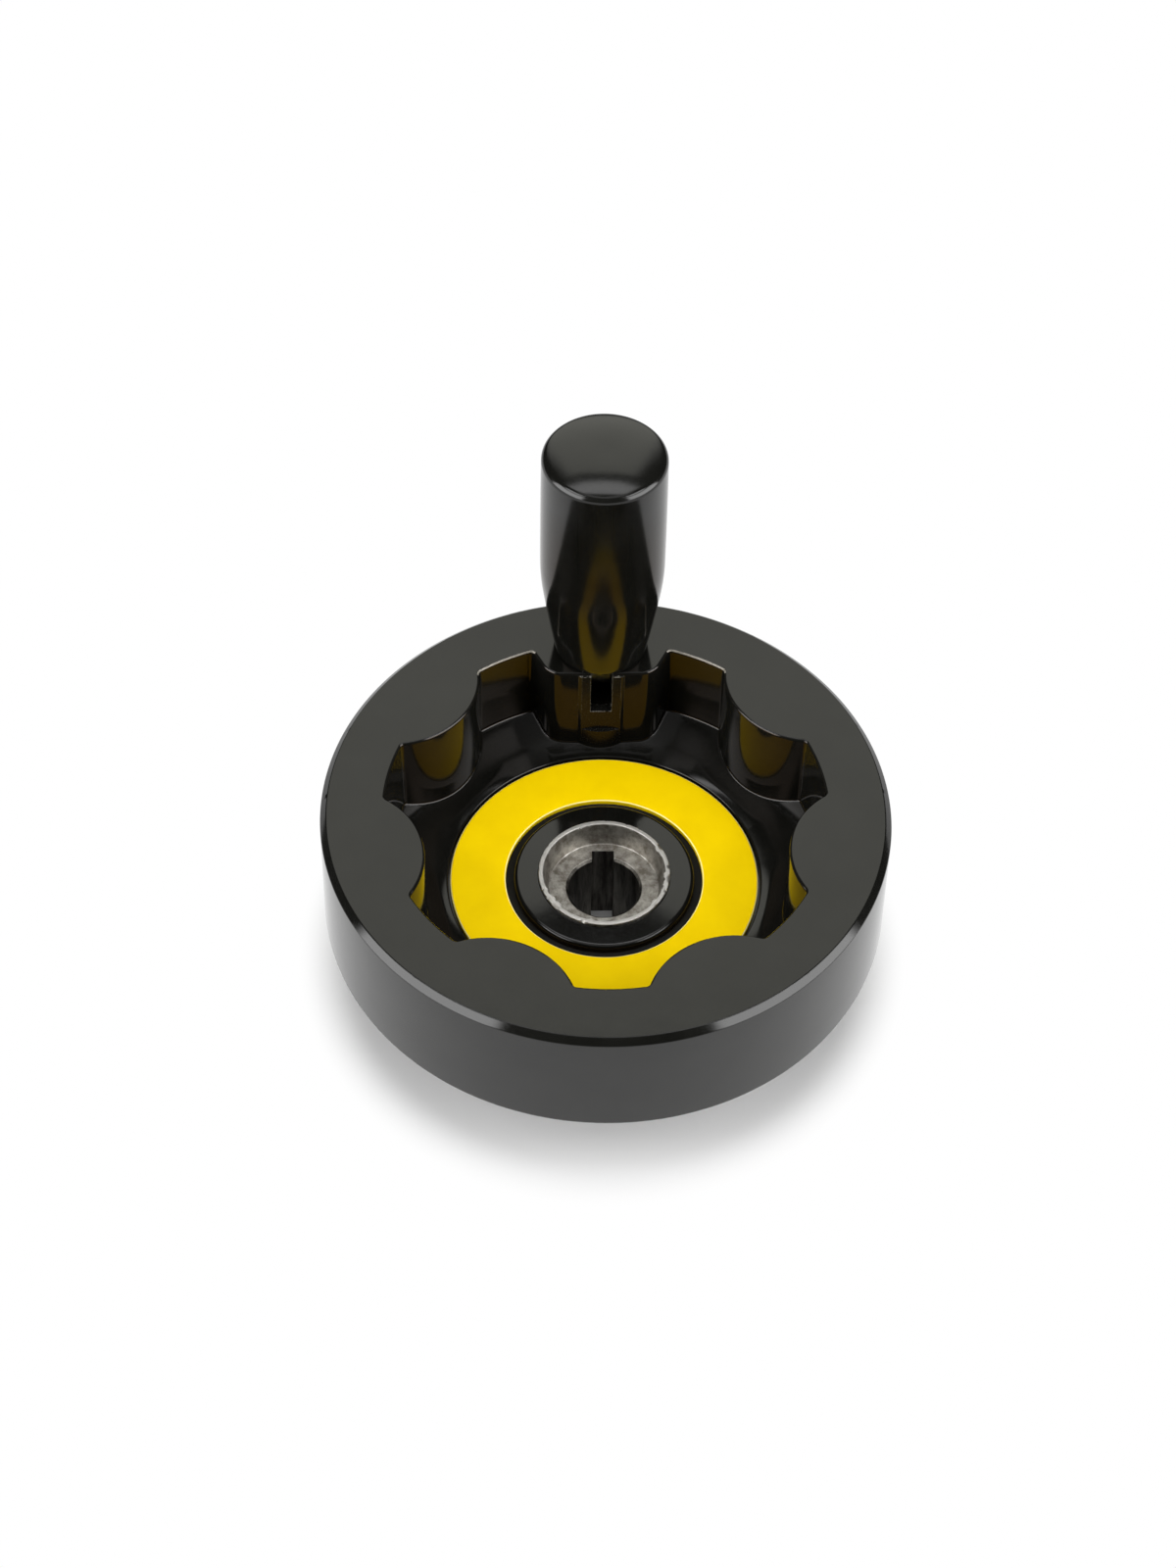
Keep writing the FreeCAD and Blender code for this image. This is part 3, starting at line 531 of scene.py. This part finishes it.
bush = lathe("hub_bush_turned", [
    (8.6, 0.0), (14.35, 0.0), (14.75, 0.4), (14.75, 14), (14.75, 27.6), (14.65, 27.92),
    (14.5, 28.0), (13.82, 28.0), (13.7, 27.93), (13.48, 27.45), (12.42, 22.55), (12.25, 22.4),
    (8.6, 22.4), (8.0, 21.8), (8.0, 11.0), (8.0, 0.6),
], 360)
shape_with(bush, "DIFFERENCE", [prism("keyway", -1, 22.4, box_outline(2.5, 0, 10.3))])


def rolled_burr():
    """The thin lip's edge with a few nicks, where it was knocked inwards."""
    tree, given = new_tree("rolled_burr", {"Lip Height": "Float", "Burr": "Float",
                                           "Seed": "Float", "Finish": "Material"})
    place = add_node(tree, "GeometryNodeInputPosition").outputs[0]
    split = add_node(tree, "ShaderNodeSeparateXYZ", Vector=place)
    flat = add_node(tree, "ShaderNodeCombineXYZ", X=split.outputs[0], Y=split.outputs[1])
    outward = add_node(tree, "ShaderNodeVectorMath", {"operation": "NORMALIZE"},
                       i0=flat.outputs[0])
    ragged = add_node(tree, "ShaderNodeTexNoise", {"noise_dimensions": "4D"}, Vector=place,
                      W=given["Seed"], Scale=1 / (2.2 * MM), Detail=5.0)
    push = add_node(tree, "ShaderNodeMapRange", Value=ragged.outputs[0], From_Min=0.64,
                    From_Max=0.57, To_Min=-1.0, To_Max=0.0)
    amount = add_node(tree, "ShaderNodeMath", {"operation": "MULTIPLY"}, i0=push.outputs[0],
                      i1=given["Burr"])
    shift = add_node(tree, "ShaderNodeVectorMath", {"operation": "SCALE"}, i0=outward.outputs[0],
                     Scale=amount.outputs[0])
    lip = add_node(tree, "FunctionNodeCompare", {"operation": "GREATER_THAN"},
                   i0=split.outputs[2], i1=given["Lip Height"])
    moved = add_node(tree, "GeometryNodeSetPosition", Geometry=given["Geometry"],
                     Selection=lip.outputs[0], Offset=shift.outputs[0])
    close_tree(tree, moved.outputs[0], given["Finish"])
    return tree


def turned_metal(name, shade, pitch, roughness=0.3, lip=None):
    """Turned metal: bright, with rings round the axis and darker stains 2.5 mm wide.

    The real feed marks are about 0.05 mm apart; pitch, in mm, draws them coarse enough to show.
    Above the height lip, in mm, the edge is knocked matt and pale; inside a bush with a lip, the
    bore below the counterbore is darker, with marks drawn out along the broach.
    """
    material, tree, place = new_material(name)
    height, away = from_axis(tree, place)[2:]
    both = add_node(tree, "ShaderNodeMath", {"operation": "ADD"}, i0=away, i1=height)
    rings = add_node(tree, "ShaderNodeTexNoise", {"noise_dimensions": "1D"}, W=both.outputs[0],
                     Scale=1 / (pitch * MM), Detail=2.0)
    metallic = 1.0
    if lip:
        deep = add_node(tree, "ShaderNodeMath", {"operation": "LESS_THAN"}, i0=height,
                        i1=22.3 * MM).outputs[0]
        marks = add_node(tree, "ShaderNodeVectorMath", {"operation": "MULTIPLY"}, i0=place,
                         i1=(1, 1, 0.12))
        place = add_node(tree, "ShaderNodeMix", {"data_type": "VECTOR"}, Factor=deep, A=place,
                         B=marks.outputs[0]).outputs[1]
    stain = add_node(tree, "ShaderNodeTexNoise", Vector=place, Scale=1 / (2.5 * MM), Detail=8.0,
                     Roughness=0.7)
    colour = add_node(tree, "ShaderNodeValToRGB", {"stops": [(0.38, shade[0]), (0.6, shade[1])]},
                      Fac=stain.outputs[0]).outputs[0]
    if lip:
        bare = add_node(tree, "ShaderNodeMapRange", Value=height, From_Min=(lip - 0.15) * MM,
                        From_Max=(lip + 0.15) * MM, To_Max=0.8).outputs[0]
        bright = add_node(tree, "ShaderNodeValToRGB",
                          {"stops": [(0.35, "B5B3AE"), (0.6, "DAD8D3")]}, Fac=rings.outputs[0])
        bore = add_node(tree, "ShaderNodeValToRGB",
                        {"stops": [(0.4, "35322E"), (0.62, "7C7973")]}, Fac=stain.outputs[0])
        for share, other in ((deep, bore), (bare, bright)):
            colour = add_node(tree, "ShaderNodeMixRGB", Fac=share, Color1=colour,
                              Color2=other.outputs[0]).outputs[0]
        metallic = add_node(tree, "ShaderNodeMapRange", Value=bare, To_Min=1.0,
                            To_Max=0.5).outputs[0]
    rough = add_node(tree, "ShaderNodeMapRange", Value=stain.outputs[0],
                     To_Min=roughness + 0.1, To_Max=roughness - 0.08)
    bump = add_node(tree, "ShaderNodeBump", Height=rings.outputs[0], Strength=0.35,
                    Distance=0.04 * MM)
    edge = add_node(tree, "ShaderNodeBevel", {"samples": 4}, Radius=0.1 * MM,
                    Normal=bump.outputs[0])
    shader = add_node(tree, "ShaderNodeBsdfPrincipled", Base_Color=colour, Metallic=metallic,
                      Roughness=rough.outputs[0], Normal=edge.outputs[0])
    add_node(tree, "ShaderNodeOutputMaterial", Surface=shader.outputs[0])
    return material


bush_finish = turned_metal("free_cutting_steel_turned", ("857F76", "C6C3BC"), 0.12, 0.45,
                           lip=27.85)
grow(bush, rolled_burr(), Burr=0.55 * MM, Seed=3.0, Finish=bush_finish,
     **{"Lip Height": 27.7 * MM})
smooth(bush, 30)
dress(bush, bush_finish, "wheel", "hub_bush")


# Ring plate: a thin disc ring, yellow lacquered, in its recess round the boss. Both edges are
# bevelled, with a painted pale highlight; the flat face is satin and slightly mottled.

ring = lathe("ring_plate_yellow", [
    (22.0, 24.95), (34.4, 24.95), (34.4, 25.85), (34.33, 25.98), (34.1, 26.13), (33.95, 26.15),
    (28.0, 26.15), (22.45, 26.15), (22.3, 26.13), (22.07, 25.98), (22.0, 25.85),
], 240)
smooth(ring, 40)


def ring_lacquer():
    """Sprayed yellow lacquer: satin, clouded over 7 mm, its orange peel 0.5 mm wide.

    On the upper part of the bevels, 5.92 mm and more from the ring's middle line, a pale
    highlight is painted into the colour. The real one hardly mirrors, so its IOR is low.
    """
    material, tree, place = new_material("yellow_lacquer_satin")
    cloud = add_node(tree, "ShaderNodeTexNoise", Vector=place, Scale=1 / (7 * MM), Detail=3.0)
    grain = add_node(tree, "ShaderNodeTexNoise", Vector=place, Scale=1 / (0.5 * MM), Detail=3.0)
    colour = add_node(tree, "ShaderNodeValToRGB", {"stops": [(0.3, "F2CD00"), (0.7, "F8D400")]},
                      Fac=cloud.outputs[0]).outputs[0]
    height, away = from_axis(tree, place)[2:]
    middle = add_node(tree, "ShaderNodeMath", {"operation": "SUBTRACT"}, i0=away,
                      i1=28.2 * MM)
    apart = add_node(tree, "ShaderNodeMath", {"operation": "ABSOLUTE"}, i0=middle.outputs[0])
    # Painted highlight: a pale line on the upper part of both bevels
    bevel = add_node(tree, "ShaderNodeMapRange", Value=apart.outputs[0], From_Min=5.92 * MM,
                     From_Max=6.0 * MM)
    upper = add_node(tree, "ShaderNodeMapRange", Value=height, From_Min=25.9 * MM,
                     From_Max=25.98 * MM)
    painted_bevel_highlight = add_node(tree, "ShaderNodeMath", {"operation": "MULTIPLY"}, i0=bevel.outputs[0],
                    i1=upper.outputs[0])
    shown = add_node(tree, "ShaderNodeMixRGB", Fac=painted_bevel_highlight.outputs[0], Color1=colour,
                     Color2=linear("FFF3A8"))
    bump = add_node(tree, "ShaderNodeBump", Height=grain.outputs[0], Strength=0.1,
                    Distance=0.03 * MM)
    rough = add_node(tree, "ShaderNodeMapRange", Value=grain.outputs[0], To_Min=0.45,
                     To_Max=0.6)
    shader = add_node(tree, "ShaderNodeBsdfPrincipled", Base_Color=shown.outputs[0],
                      Roughness=rough.outputs[0], IOR=1.12, Normal=bump.outputs[0])
    add_node(tree, "ShaderNodeOutputMaterial", Surface=shader.outputs[0])
    return material


dress(ring, ring_lacquer(), "wheel", "ring_plate")


# Hinge block and pivot pin: a steel cylinder, blackened, slotted for the spindle's tongue and
# pressed into the handle lobe from below, with a ground pin across it.


def dressed_copy(node, body, material):
    """A joined, smooth-shaded copy of a CAD node's own mesh, in its place."""
    copy = bpy.data.objects.new(f"{node}_finished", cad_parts[node].data.copy())
    bpy.context.scene.collection.objects.link(copy)
    form = bmesh.new()
    form.from_mesh(copy.data)
    bmesh.ops.remove_doubles(form, verts=form.verts, dist=2e-6)
    form.to_mesh(copy.data)
    form.free()
    smooth(copy, 30)
    dress(copy, material, body, node)
    return copy


def plain_steel(name, dark, light, roughness):
    """Steel with an even grain 0.4 mm wide, coarser than the real one so that it shows.

    It is rougher where it is darker.
    """
    material, tree, place = new_material(name)
    grain = add_node(tree, "ShaderNodeTexNoise", Vector=place, Scale=1 / (0.4 * MM), Detail=4.0)
    colour = add_node(tree, "ShaderNodeValToRGB", {"stops": [(0.3, dark), (0.7, light)]},
                      Fac=grain.outputs[0]).outputs[0]
    rough = add_node(tree, "ShaderNodeMapRange", Value=grain.outputs[0],
                     To_Min=roughness + 0.12, To_Max=roughness - 0.05)
    bump = add_node(tree, "ShaderNodeBump", Height=grain.outputs[0], Strength=0.2,
                    Distance=0.03 * MM)
    shader = add_node(tree, "ShaderNodeBsdfPrincipled", Base_Color=colour, Metallic=1.0,
                      Roughness=rough.outputs[0], Normal=bump.outputs[0])
    add_node(tree, "ShaderNodeOutputMaterial", Surface=shader.outputs[0])
    return material


blackened = plain_steel("steel_blackened", "2B2A28", "413F3B", 0.42)
ground = plain_steel("steel_ground", "9C9B98", "BDBCB8", 0.22)
dressed_copy("hinge_block", "wheel", blackened)
dressed_copy("pivot_pin", "wheel", ground)


# Spindle with its washers, clip and spring: a turned steel shaft, its foot milled to a tongue
# with an eye. The spring between the two washers draws the grip down onto its seat.

spindle_steel = turned_metal("carbon_steel_turned", ("8F8E8A", "B4B3AE"), 0.15)
dressed_copy("spindle", "spindle", spindle_steel)
phosphated = plain_steel("spring_steel_phosphated", "3A3A3C", "515153", 0.4)
dressed_copy("retaining_clip", "spindle", phosphated)
stamped = plain_steel("steel_stamped", "8C8B88", "A9A8A4", 0.34)
dressed_copy("stop_washer", "spindle", stamped)
dressed_copy("thrust_washer", "slider", stamped)
drawn = plain_steel("spring_wire_drawn", "6A6A6C", "88888A", 0.3)


def coil():
    """A wound wire with a closed, ground coil at each end.

    Each step works out a value from two others, which are numbers or the names of values.
    """
    tree, given = new_tree("coil", {"Foot": "Float", "Top": "Float", "Coil Radius": "Float",
                                    "Wire": "Float", "Turns": "Int", "Finish": "Material"})
    values = {label: given[label] for label in ("Foot", "Top", "Coil Radius", "Wire", "Turns")}
    values["along"] = add_node(tree, "GeometryNodeSplineParameter").outputs["Factor"]
    for result, operation, first, second in (
        ("count", "MULTIPLY", "Turns", 40.0),
        ("half_wire", "DIVIDE", "Wire", 2.0),
        # Round the axis
        ("turn", "MULTIPLY", "along", "Turns"),
        ("angle", "MULTIPLY", "turn", 2 * math.pi),
        ("x", "COSINE", "angle", 0.0),
        ("x", "MULTIPLY", "x", "Coil Radius"),
        ("y", "SINE", "angle", 0.0),
        ("y", "MULTIPLY", "y", "Coil Radius"),
        # One closed turn at each end climbs by one wire only
        ("left", "SUBTRACT", "Turns", "turn"),
        ("first_turn", "MINIMUM", "turn", 1.0),
        ("last_turn", "MINIMUM", "left", 1.0),
        ("closed", "SUBTRACT", "first_turn", "last_turn"),
        ("closed", "ADD", "closed", 1.4),
        ("closed", "MULTIPLY", "closed", "Wire"),
        # The free turns between them share the rest of the height
        ("inner", "SUBTRACT", "turn", 1.0),
        ("inner_turns", "SUBTRACT", "Turns", 2.0),
        ("inner", "DIVIDE", "inner", "inner_turns"),
        ("inner", "MINIMUM", "inner", 1.0),
        ("inner", "MAXIMUM", "inner", 0.0),
        ("free", "SUBTRACT", "Top", "Foot"),
        ("ends", "MULTIPLY", "Wire", 2.4),
        ("free", "SUBTRACT", "free", "ends"),
        ("rise", "MULTIPLY", "inner", "free"),
        ("rise", "ADD", "rise", "closed"),
        ("sunk", "MULTIPLY", "Wire", 0.2),
        ("z", "SUBTRACT", "rise", "sunk"),
        ("z", "ADD", "Foot", "z"),
    ):
        done = add_node(tree, "ShaderNodeMath", {"operation": operation},
                        i0=values.get(first, first), i1=values.get(second, second))
        values[result] = done.outputs[0]
    line = add_node(tree, "GeometryNodeCurvePrimitiveLine", End=(0.0, 0.0, 1.0))
    steps = add_node(tree, "GeometryNodeResampleCurve", Curve=line.outputs[0],
                     Count=values["count"])
    spot = add_node(tree, "ShaderNodeCombineXYZ", X=values["x"], Y=values["y"], Z=values["z"])
    path = add_node(tree, "GeometryNodeSetPosition", Geometry=steps.outputs[0],
                    Position=spot.outputs[0])
    section = add_node(tree, "GeometryNodeCurvePrimitiveCircle", Resolution=12,
                       Radius=values["half_wire"])
    wound = add_node(tree, "GeometryNodeCurveToMesh", Curve=path.outputs[0],
                     Profile_Curve=section.outputs[0], Fill_Caps=True)
    place = add_node(tree, "GeometryNodeInputPosition").outputs[0]
    at = add_node(tree, "ShaderNodeSeparateXYZ", Vector=place)
    under_top = add_node(tree, "ShaderNodeMath", {"operation": "MINIMUM"}, i0=at.outputs[2],
                         i1=given["Top"])
    level = add_node(tree, "ShaderNodeMath", {"operation": "MAXIMUM"}, i0=under_top.outputs[0],
                     i1=given["Foot"])
    moved = add_node(tree, "ShaderNodeMath", {"operation": "ADD"}, i0=at.outputs[1],
                     i1=HANDLE_Y * MM)
    settled = add_node(tree, "ShaderNodeCombineXYZ", X=at.outputs[0], Y=moved.outputs[0],
                       Z=level.outputs[0])
    ends = add_node(tree, "GeometryNodeSetPosition", Geometry=wound.outputs[0],
                    Position=settled.outputs[0])
    close_tree(tree, ends.outputs[0], given["Finish"])
    return tree


spring = bpy.data.objects.new("spring_coiled", bpy.data.meshes.new("spring_coiled"))
bpy.context.scene.collection.objects.link(spring)
spring_low, spring_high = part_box("spring")
grow(spring, coil(), Foot=spring_low[2], Top=spring_high[2], Wire=1.2 * MM, Turns=8,
     Finish=drawn, **{"Coil Radius": 6.2 * MM})
face_outwards(spring)
smooth(spring, 50)
dress(spring, drawn, "spindle", "spring")
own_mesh(spring)


# Guide bush: a bronze bush pressed into the mouth of the grip, which turns and slides with it
# on the spindle. It is seen from below when the grip is drawn up.

bronze = turned_metal("tin_bronze_turned", ("9A6E3C", "C39A62"), 0.1)
dressed_copy("guide_bush", "grip", bronze)


# Grip: a hollow barrel moulded in black phenolic, slim at the foot and full above, with a
# gently domed top. Polished all over; it shows long soft reflections.


def arc_between(first, last, radius, count):
    """Points of an outward arc in a section, after first up to last."""
    start, end = complex(*first), complex(*last)
    half = abs(end - start) / 2
    inward = (end - start) / abs(end - start) * 1j
    centre = (start + end) / 2 + inward * math.sqrt(radius**2 - half**2)
    turn = 2 * math.asin(half / radius)
    points = []
    for i in range(1, count + 1):
        a = turn * i / count
        point = centre + (start - centre) * complex(math.cos(a), math.sin(a))
        points.append((point.real, point.imag))
    return points


def grip_profile():
    """Section of the grip in mm from its foot up, outside first, then the cavity."""
    points = [(8.5, 0.0), (9.9, 0.0), (10.12, 0.04), (10.36, 0.2), (10.55, 0.5)]
    points += arc_between(points[-1], (13.25, 18.4), 440, 16)
    points += arc_between((13.25, 18.4), (13.8, 27.0), 67.5, 10)
    points += arc_between((13.8, 27.0), (13.61, 56.88), 2608, 10)
    points += arc_between((13.61, 56.88), (12.33, 58.53), 1.7, 9)
    points += arc_between((12.33, 58.53), (2.13, 59.8), 41.6, 14)
    return points + [(0.02, 59.8), (0.02, 50.0), (8.1, 50.0), (8.5, 49.6)]


GRIP_FOOT = 51.3
grip = lathe("grip_barrel", [(r, z + GRIP_FOOT) for r, z in grip_profile()], 192, HANDLE_Y)
smooth(grip, 34)
dress(grip, phenolic("phenolic_grip_polished", 0.13), "grip", "grip")


# Floor, light and camera: white paper under the wheel, one broad soft lamp overhead, and a room
# that the black gloss reflects: panels at the sides, a pale rear wall, a strip and tubes above.


def stage_surface():
    """White paper that keeps the wheel's shadow; grey within 57 mm as painted shade, white from
    70 mm.
    """
    material, tree, place = new_material("paper_backdrop")
    lit = add_node(tree, "ShaderNodeBsdfDiffuse", Color=linear("D2D2D2"))
    white = add_node(tree, "ShaderNodeEmission", Strength=1.0)
    away = add_node(tree, "ShaderNodeVectorMath", {"operation": "LENGTH"}, i0=place)
    # Painted shade: within 57 mm of the axis the camera sees grey paper, darker than the white
    # beyond 70 mm, round the wheel on top of its real shadow
    clear = add_node(tree, "ShaderNodeMapRange", {"interpolation_type": "SMOOTHSTEP"},
                     Value=away.outputs["Value"], From_Min=57 * MM, From_Max=70 * MM)
    ray = add_node(tree, "ShaderNodeLightPath")
    seen = ray.outputs["Is Camera Ray"]
    for kind in ("Is Glossy Ray", "Is Transmission Ray"):
        seen = add_node(tree, "ShaderNodeMath", {"operation": "MAXIMUM"}, i0=seen,
                        i1=ray.outputs[kind]).outputs[0]
    share = add_node(tree, "ShaderNodeMath", {"operation": "MULTIPLY"}, i0=seen,
                     i1=clear.outputs[0])
    both = add_node(tree, "ShaderNodeMixShader", Fac=share.outputs[0], i1=lit.outputs[0],
                    i2=white.outputs[0])
    add_node(tree, "ShaderNodeOutputMaterial", Surface=both.outputs[0])
    return material


floor = bpy.data.meshes.new("floor")
SPREAD = 3.0
floor.from_pydata([(-SPREAD, -SPREAD, 0), (SPREAD, -SPREAD, 0), (SPREAD, SPREAD, 0),
                   (-SPREAD, SPREAD, 0)], [], [(0, 1, 2, 3)])
ground_sheet = bpy.data.objects.new("floor", floor)
bpy.context.scene.collection.objects.link(ground_sheet)
floor.materials.append(stage_surface())


def studio_room():
    """The room by direction; the camera itself sees plain white.

    Each light covers a range of back, the share of a level direction that points to the rear,
    and of high, the upward part of the direction. It fades in over the first two numbers of
    a range and out over the last two.
    """
    world = bpy.data.worlds.new("studio_room")
    bpy.context.scene.world = world
    world.use_nodes = True
    room = world.node_tree
    room.nodes.clear()
    way = add_node(room, "ShaderNodeTexCoord").outputs["Generated"]
    rearward, high, run = from_axis(room, way)[1:]
    back = add_node(room, "ShaderNodeMath", {"operation": "DIVIDE"}, i0=rearward,
                    i1=run).outputs[0]
    shares, total = {}, 0.04
    for name, strength, *ranges in (
        ("side_panels", 5.7, (-0.82, -0.76, -0.02, 0.08), (-0.3, -0.2, 0.62, 0.7)),
        ("rear_strip", 2.8, (0.74, 0.84, 2, 3), (0.88, 0.895, 0.95, 0.96)),
        ("rear_wall", 1.3, (0.88, 0.95, 2, 3), (0.2, 0.3, 0.826, 0.846)),
        ("ceiling", 0.8, (-3, -2, 0.76, 0.9), (0.93, 0.95, 2, 3)),
        ("tubes", 6.5, (-0.75, -0.65, -0.05, 0.05), (0.74, 0.77, 0.84, 0.87)),
    ):
        share = 1.0
        for value, (rise, full, fade, end) in zip((back, high), ranges):
            for first, last, low, top in ((rise, full, 0.0, 1.0), (fade, end, 1.0, 0.0)):
                edge = add_node(room, "ShaderNodeMapRange", {"interpolation_type": "SMOOTHSTEP"},
                                Value=value, From_Min=first, From_Max=last, To_Min=low,
                                To_Max=top)
                share = add_node(room, "ShaderNodeMath", {"operation": "MULTIPLY"}, i0=share,
                                 i1=edge.outputs[0]).outputs[0]
        shares[name] = share
        total = add_node(room, "ShaderNodeMath", {"operation": "MULTIPLY_ADD"}, i0=share,
                         i1=strength, i2=total).outputs[0]
    tint = add_node(room, "ShaderNodeMixRGB", Fac=shares["rear_wall"], Color1=linear("FFFFFF"),
                    Color2=linear("FFFFF4"))
    sky = add_node(room, "ShaderNodeBackground", Color=tint.outputs[0], Strength=total)
    plain = add_node(room, "ShaderNodeBackground", Strength=1.0)
    ray = add_node(room, "ShaderNodeLightPath")
    seen = add_node(room, "ShaderNodeMixShader", Fac=ray.outputs["Is Camera Ray"],
                    i1=sky.outputs[0], i2=plain.outputs[0])
    add_node(room, "ShaderNodeOutputWorld", Surface=seen.outputs[0])


studio_room()


# The lamp lights from above and isn't seen in reflections.
lamp = bpy.data.lights.new("overhead_softbox", "AREA")
lamp.shape = "RECTANGLE"
lamp.size, lamp.size_y = 0.9, 0.9
lamp.energy = 2.9
overhead = bpy.data.objects.new("overhead_softbox", lamp)
bpy.context.scene.collection.objects.link(overhead)
lamp_place = Vector((0, -0.06, 0.9))
aim = (-lamp_place).to_track_quat("-Z", "Y").to_matrix().to_4x4()
overhead.matrix_world = Matrix.Translation(lamp_place) @ aim
overhead.visible_glossy = False

# The camera stands where the photograph's did: its place is in rim radii from the middle of the
# rim's top, and the wheel was turned by the small angle PHASE.
RIM_RADIUS = 61.985 * MM
DISTANCE, SIDE, AHEAD = 10.352, -0.064782, 0.101631
PITCH, ROLL, PHASE = 0.880847, 0.019555, math.radians(2.0846)
eye = Vector((SIDE, AHEAD - DISTANCE * math.cos(PITCH), DISTANCE * math.sin(PITCH))) * RIM_RADIUS
sideways, upward = Vector((1, 0, 0)), Vector((0, math.sin(PITCH), math.cos(PITCH)))
right = sideways * math.cos(ROLL) + upward * math.sin(ROLL)
up = upward * math.cos(ROLL) - sideways * math.sin(ROLL)
stand = Matrix((right, up, right.cross(up))).transposed().to_4x4()
stand.translation = eye
camera = bpy.data.cameras.new("camera")
camera.sensor_fit = "VERTICAL"
camera.sensor_height = 24
camera.lens = 45
viewer = bpy.data.objects.new("camera", camera)
bpy.context.scene.collection.objects.link(viewer)
lift = Matrix.Translation((0, 0, RIM_TOP * MM))
viewer.matrix_world = lift @ Matrix.Rotation(-PHASE, 4, "Z") @ stand
bpy.context.scene.camera = viewer
bpy.context.scene.view_settings.view_transform = "Standard"
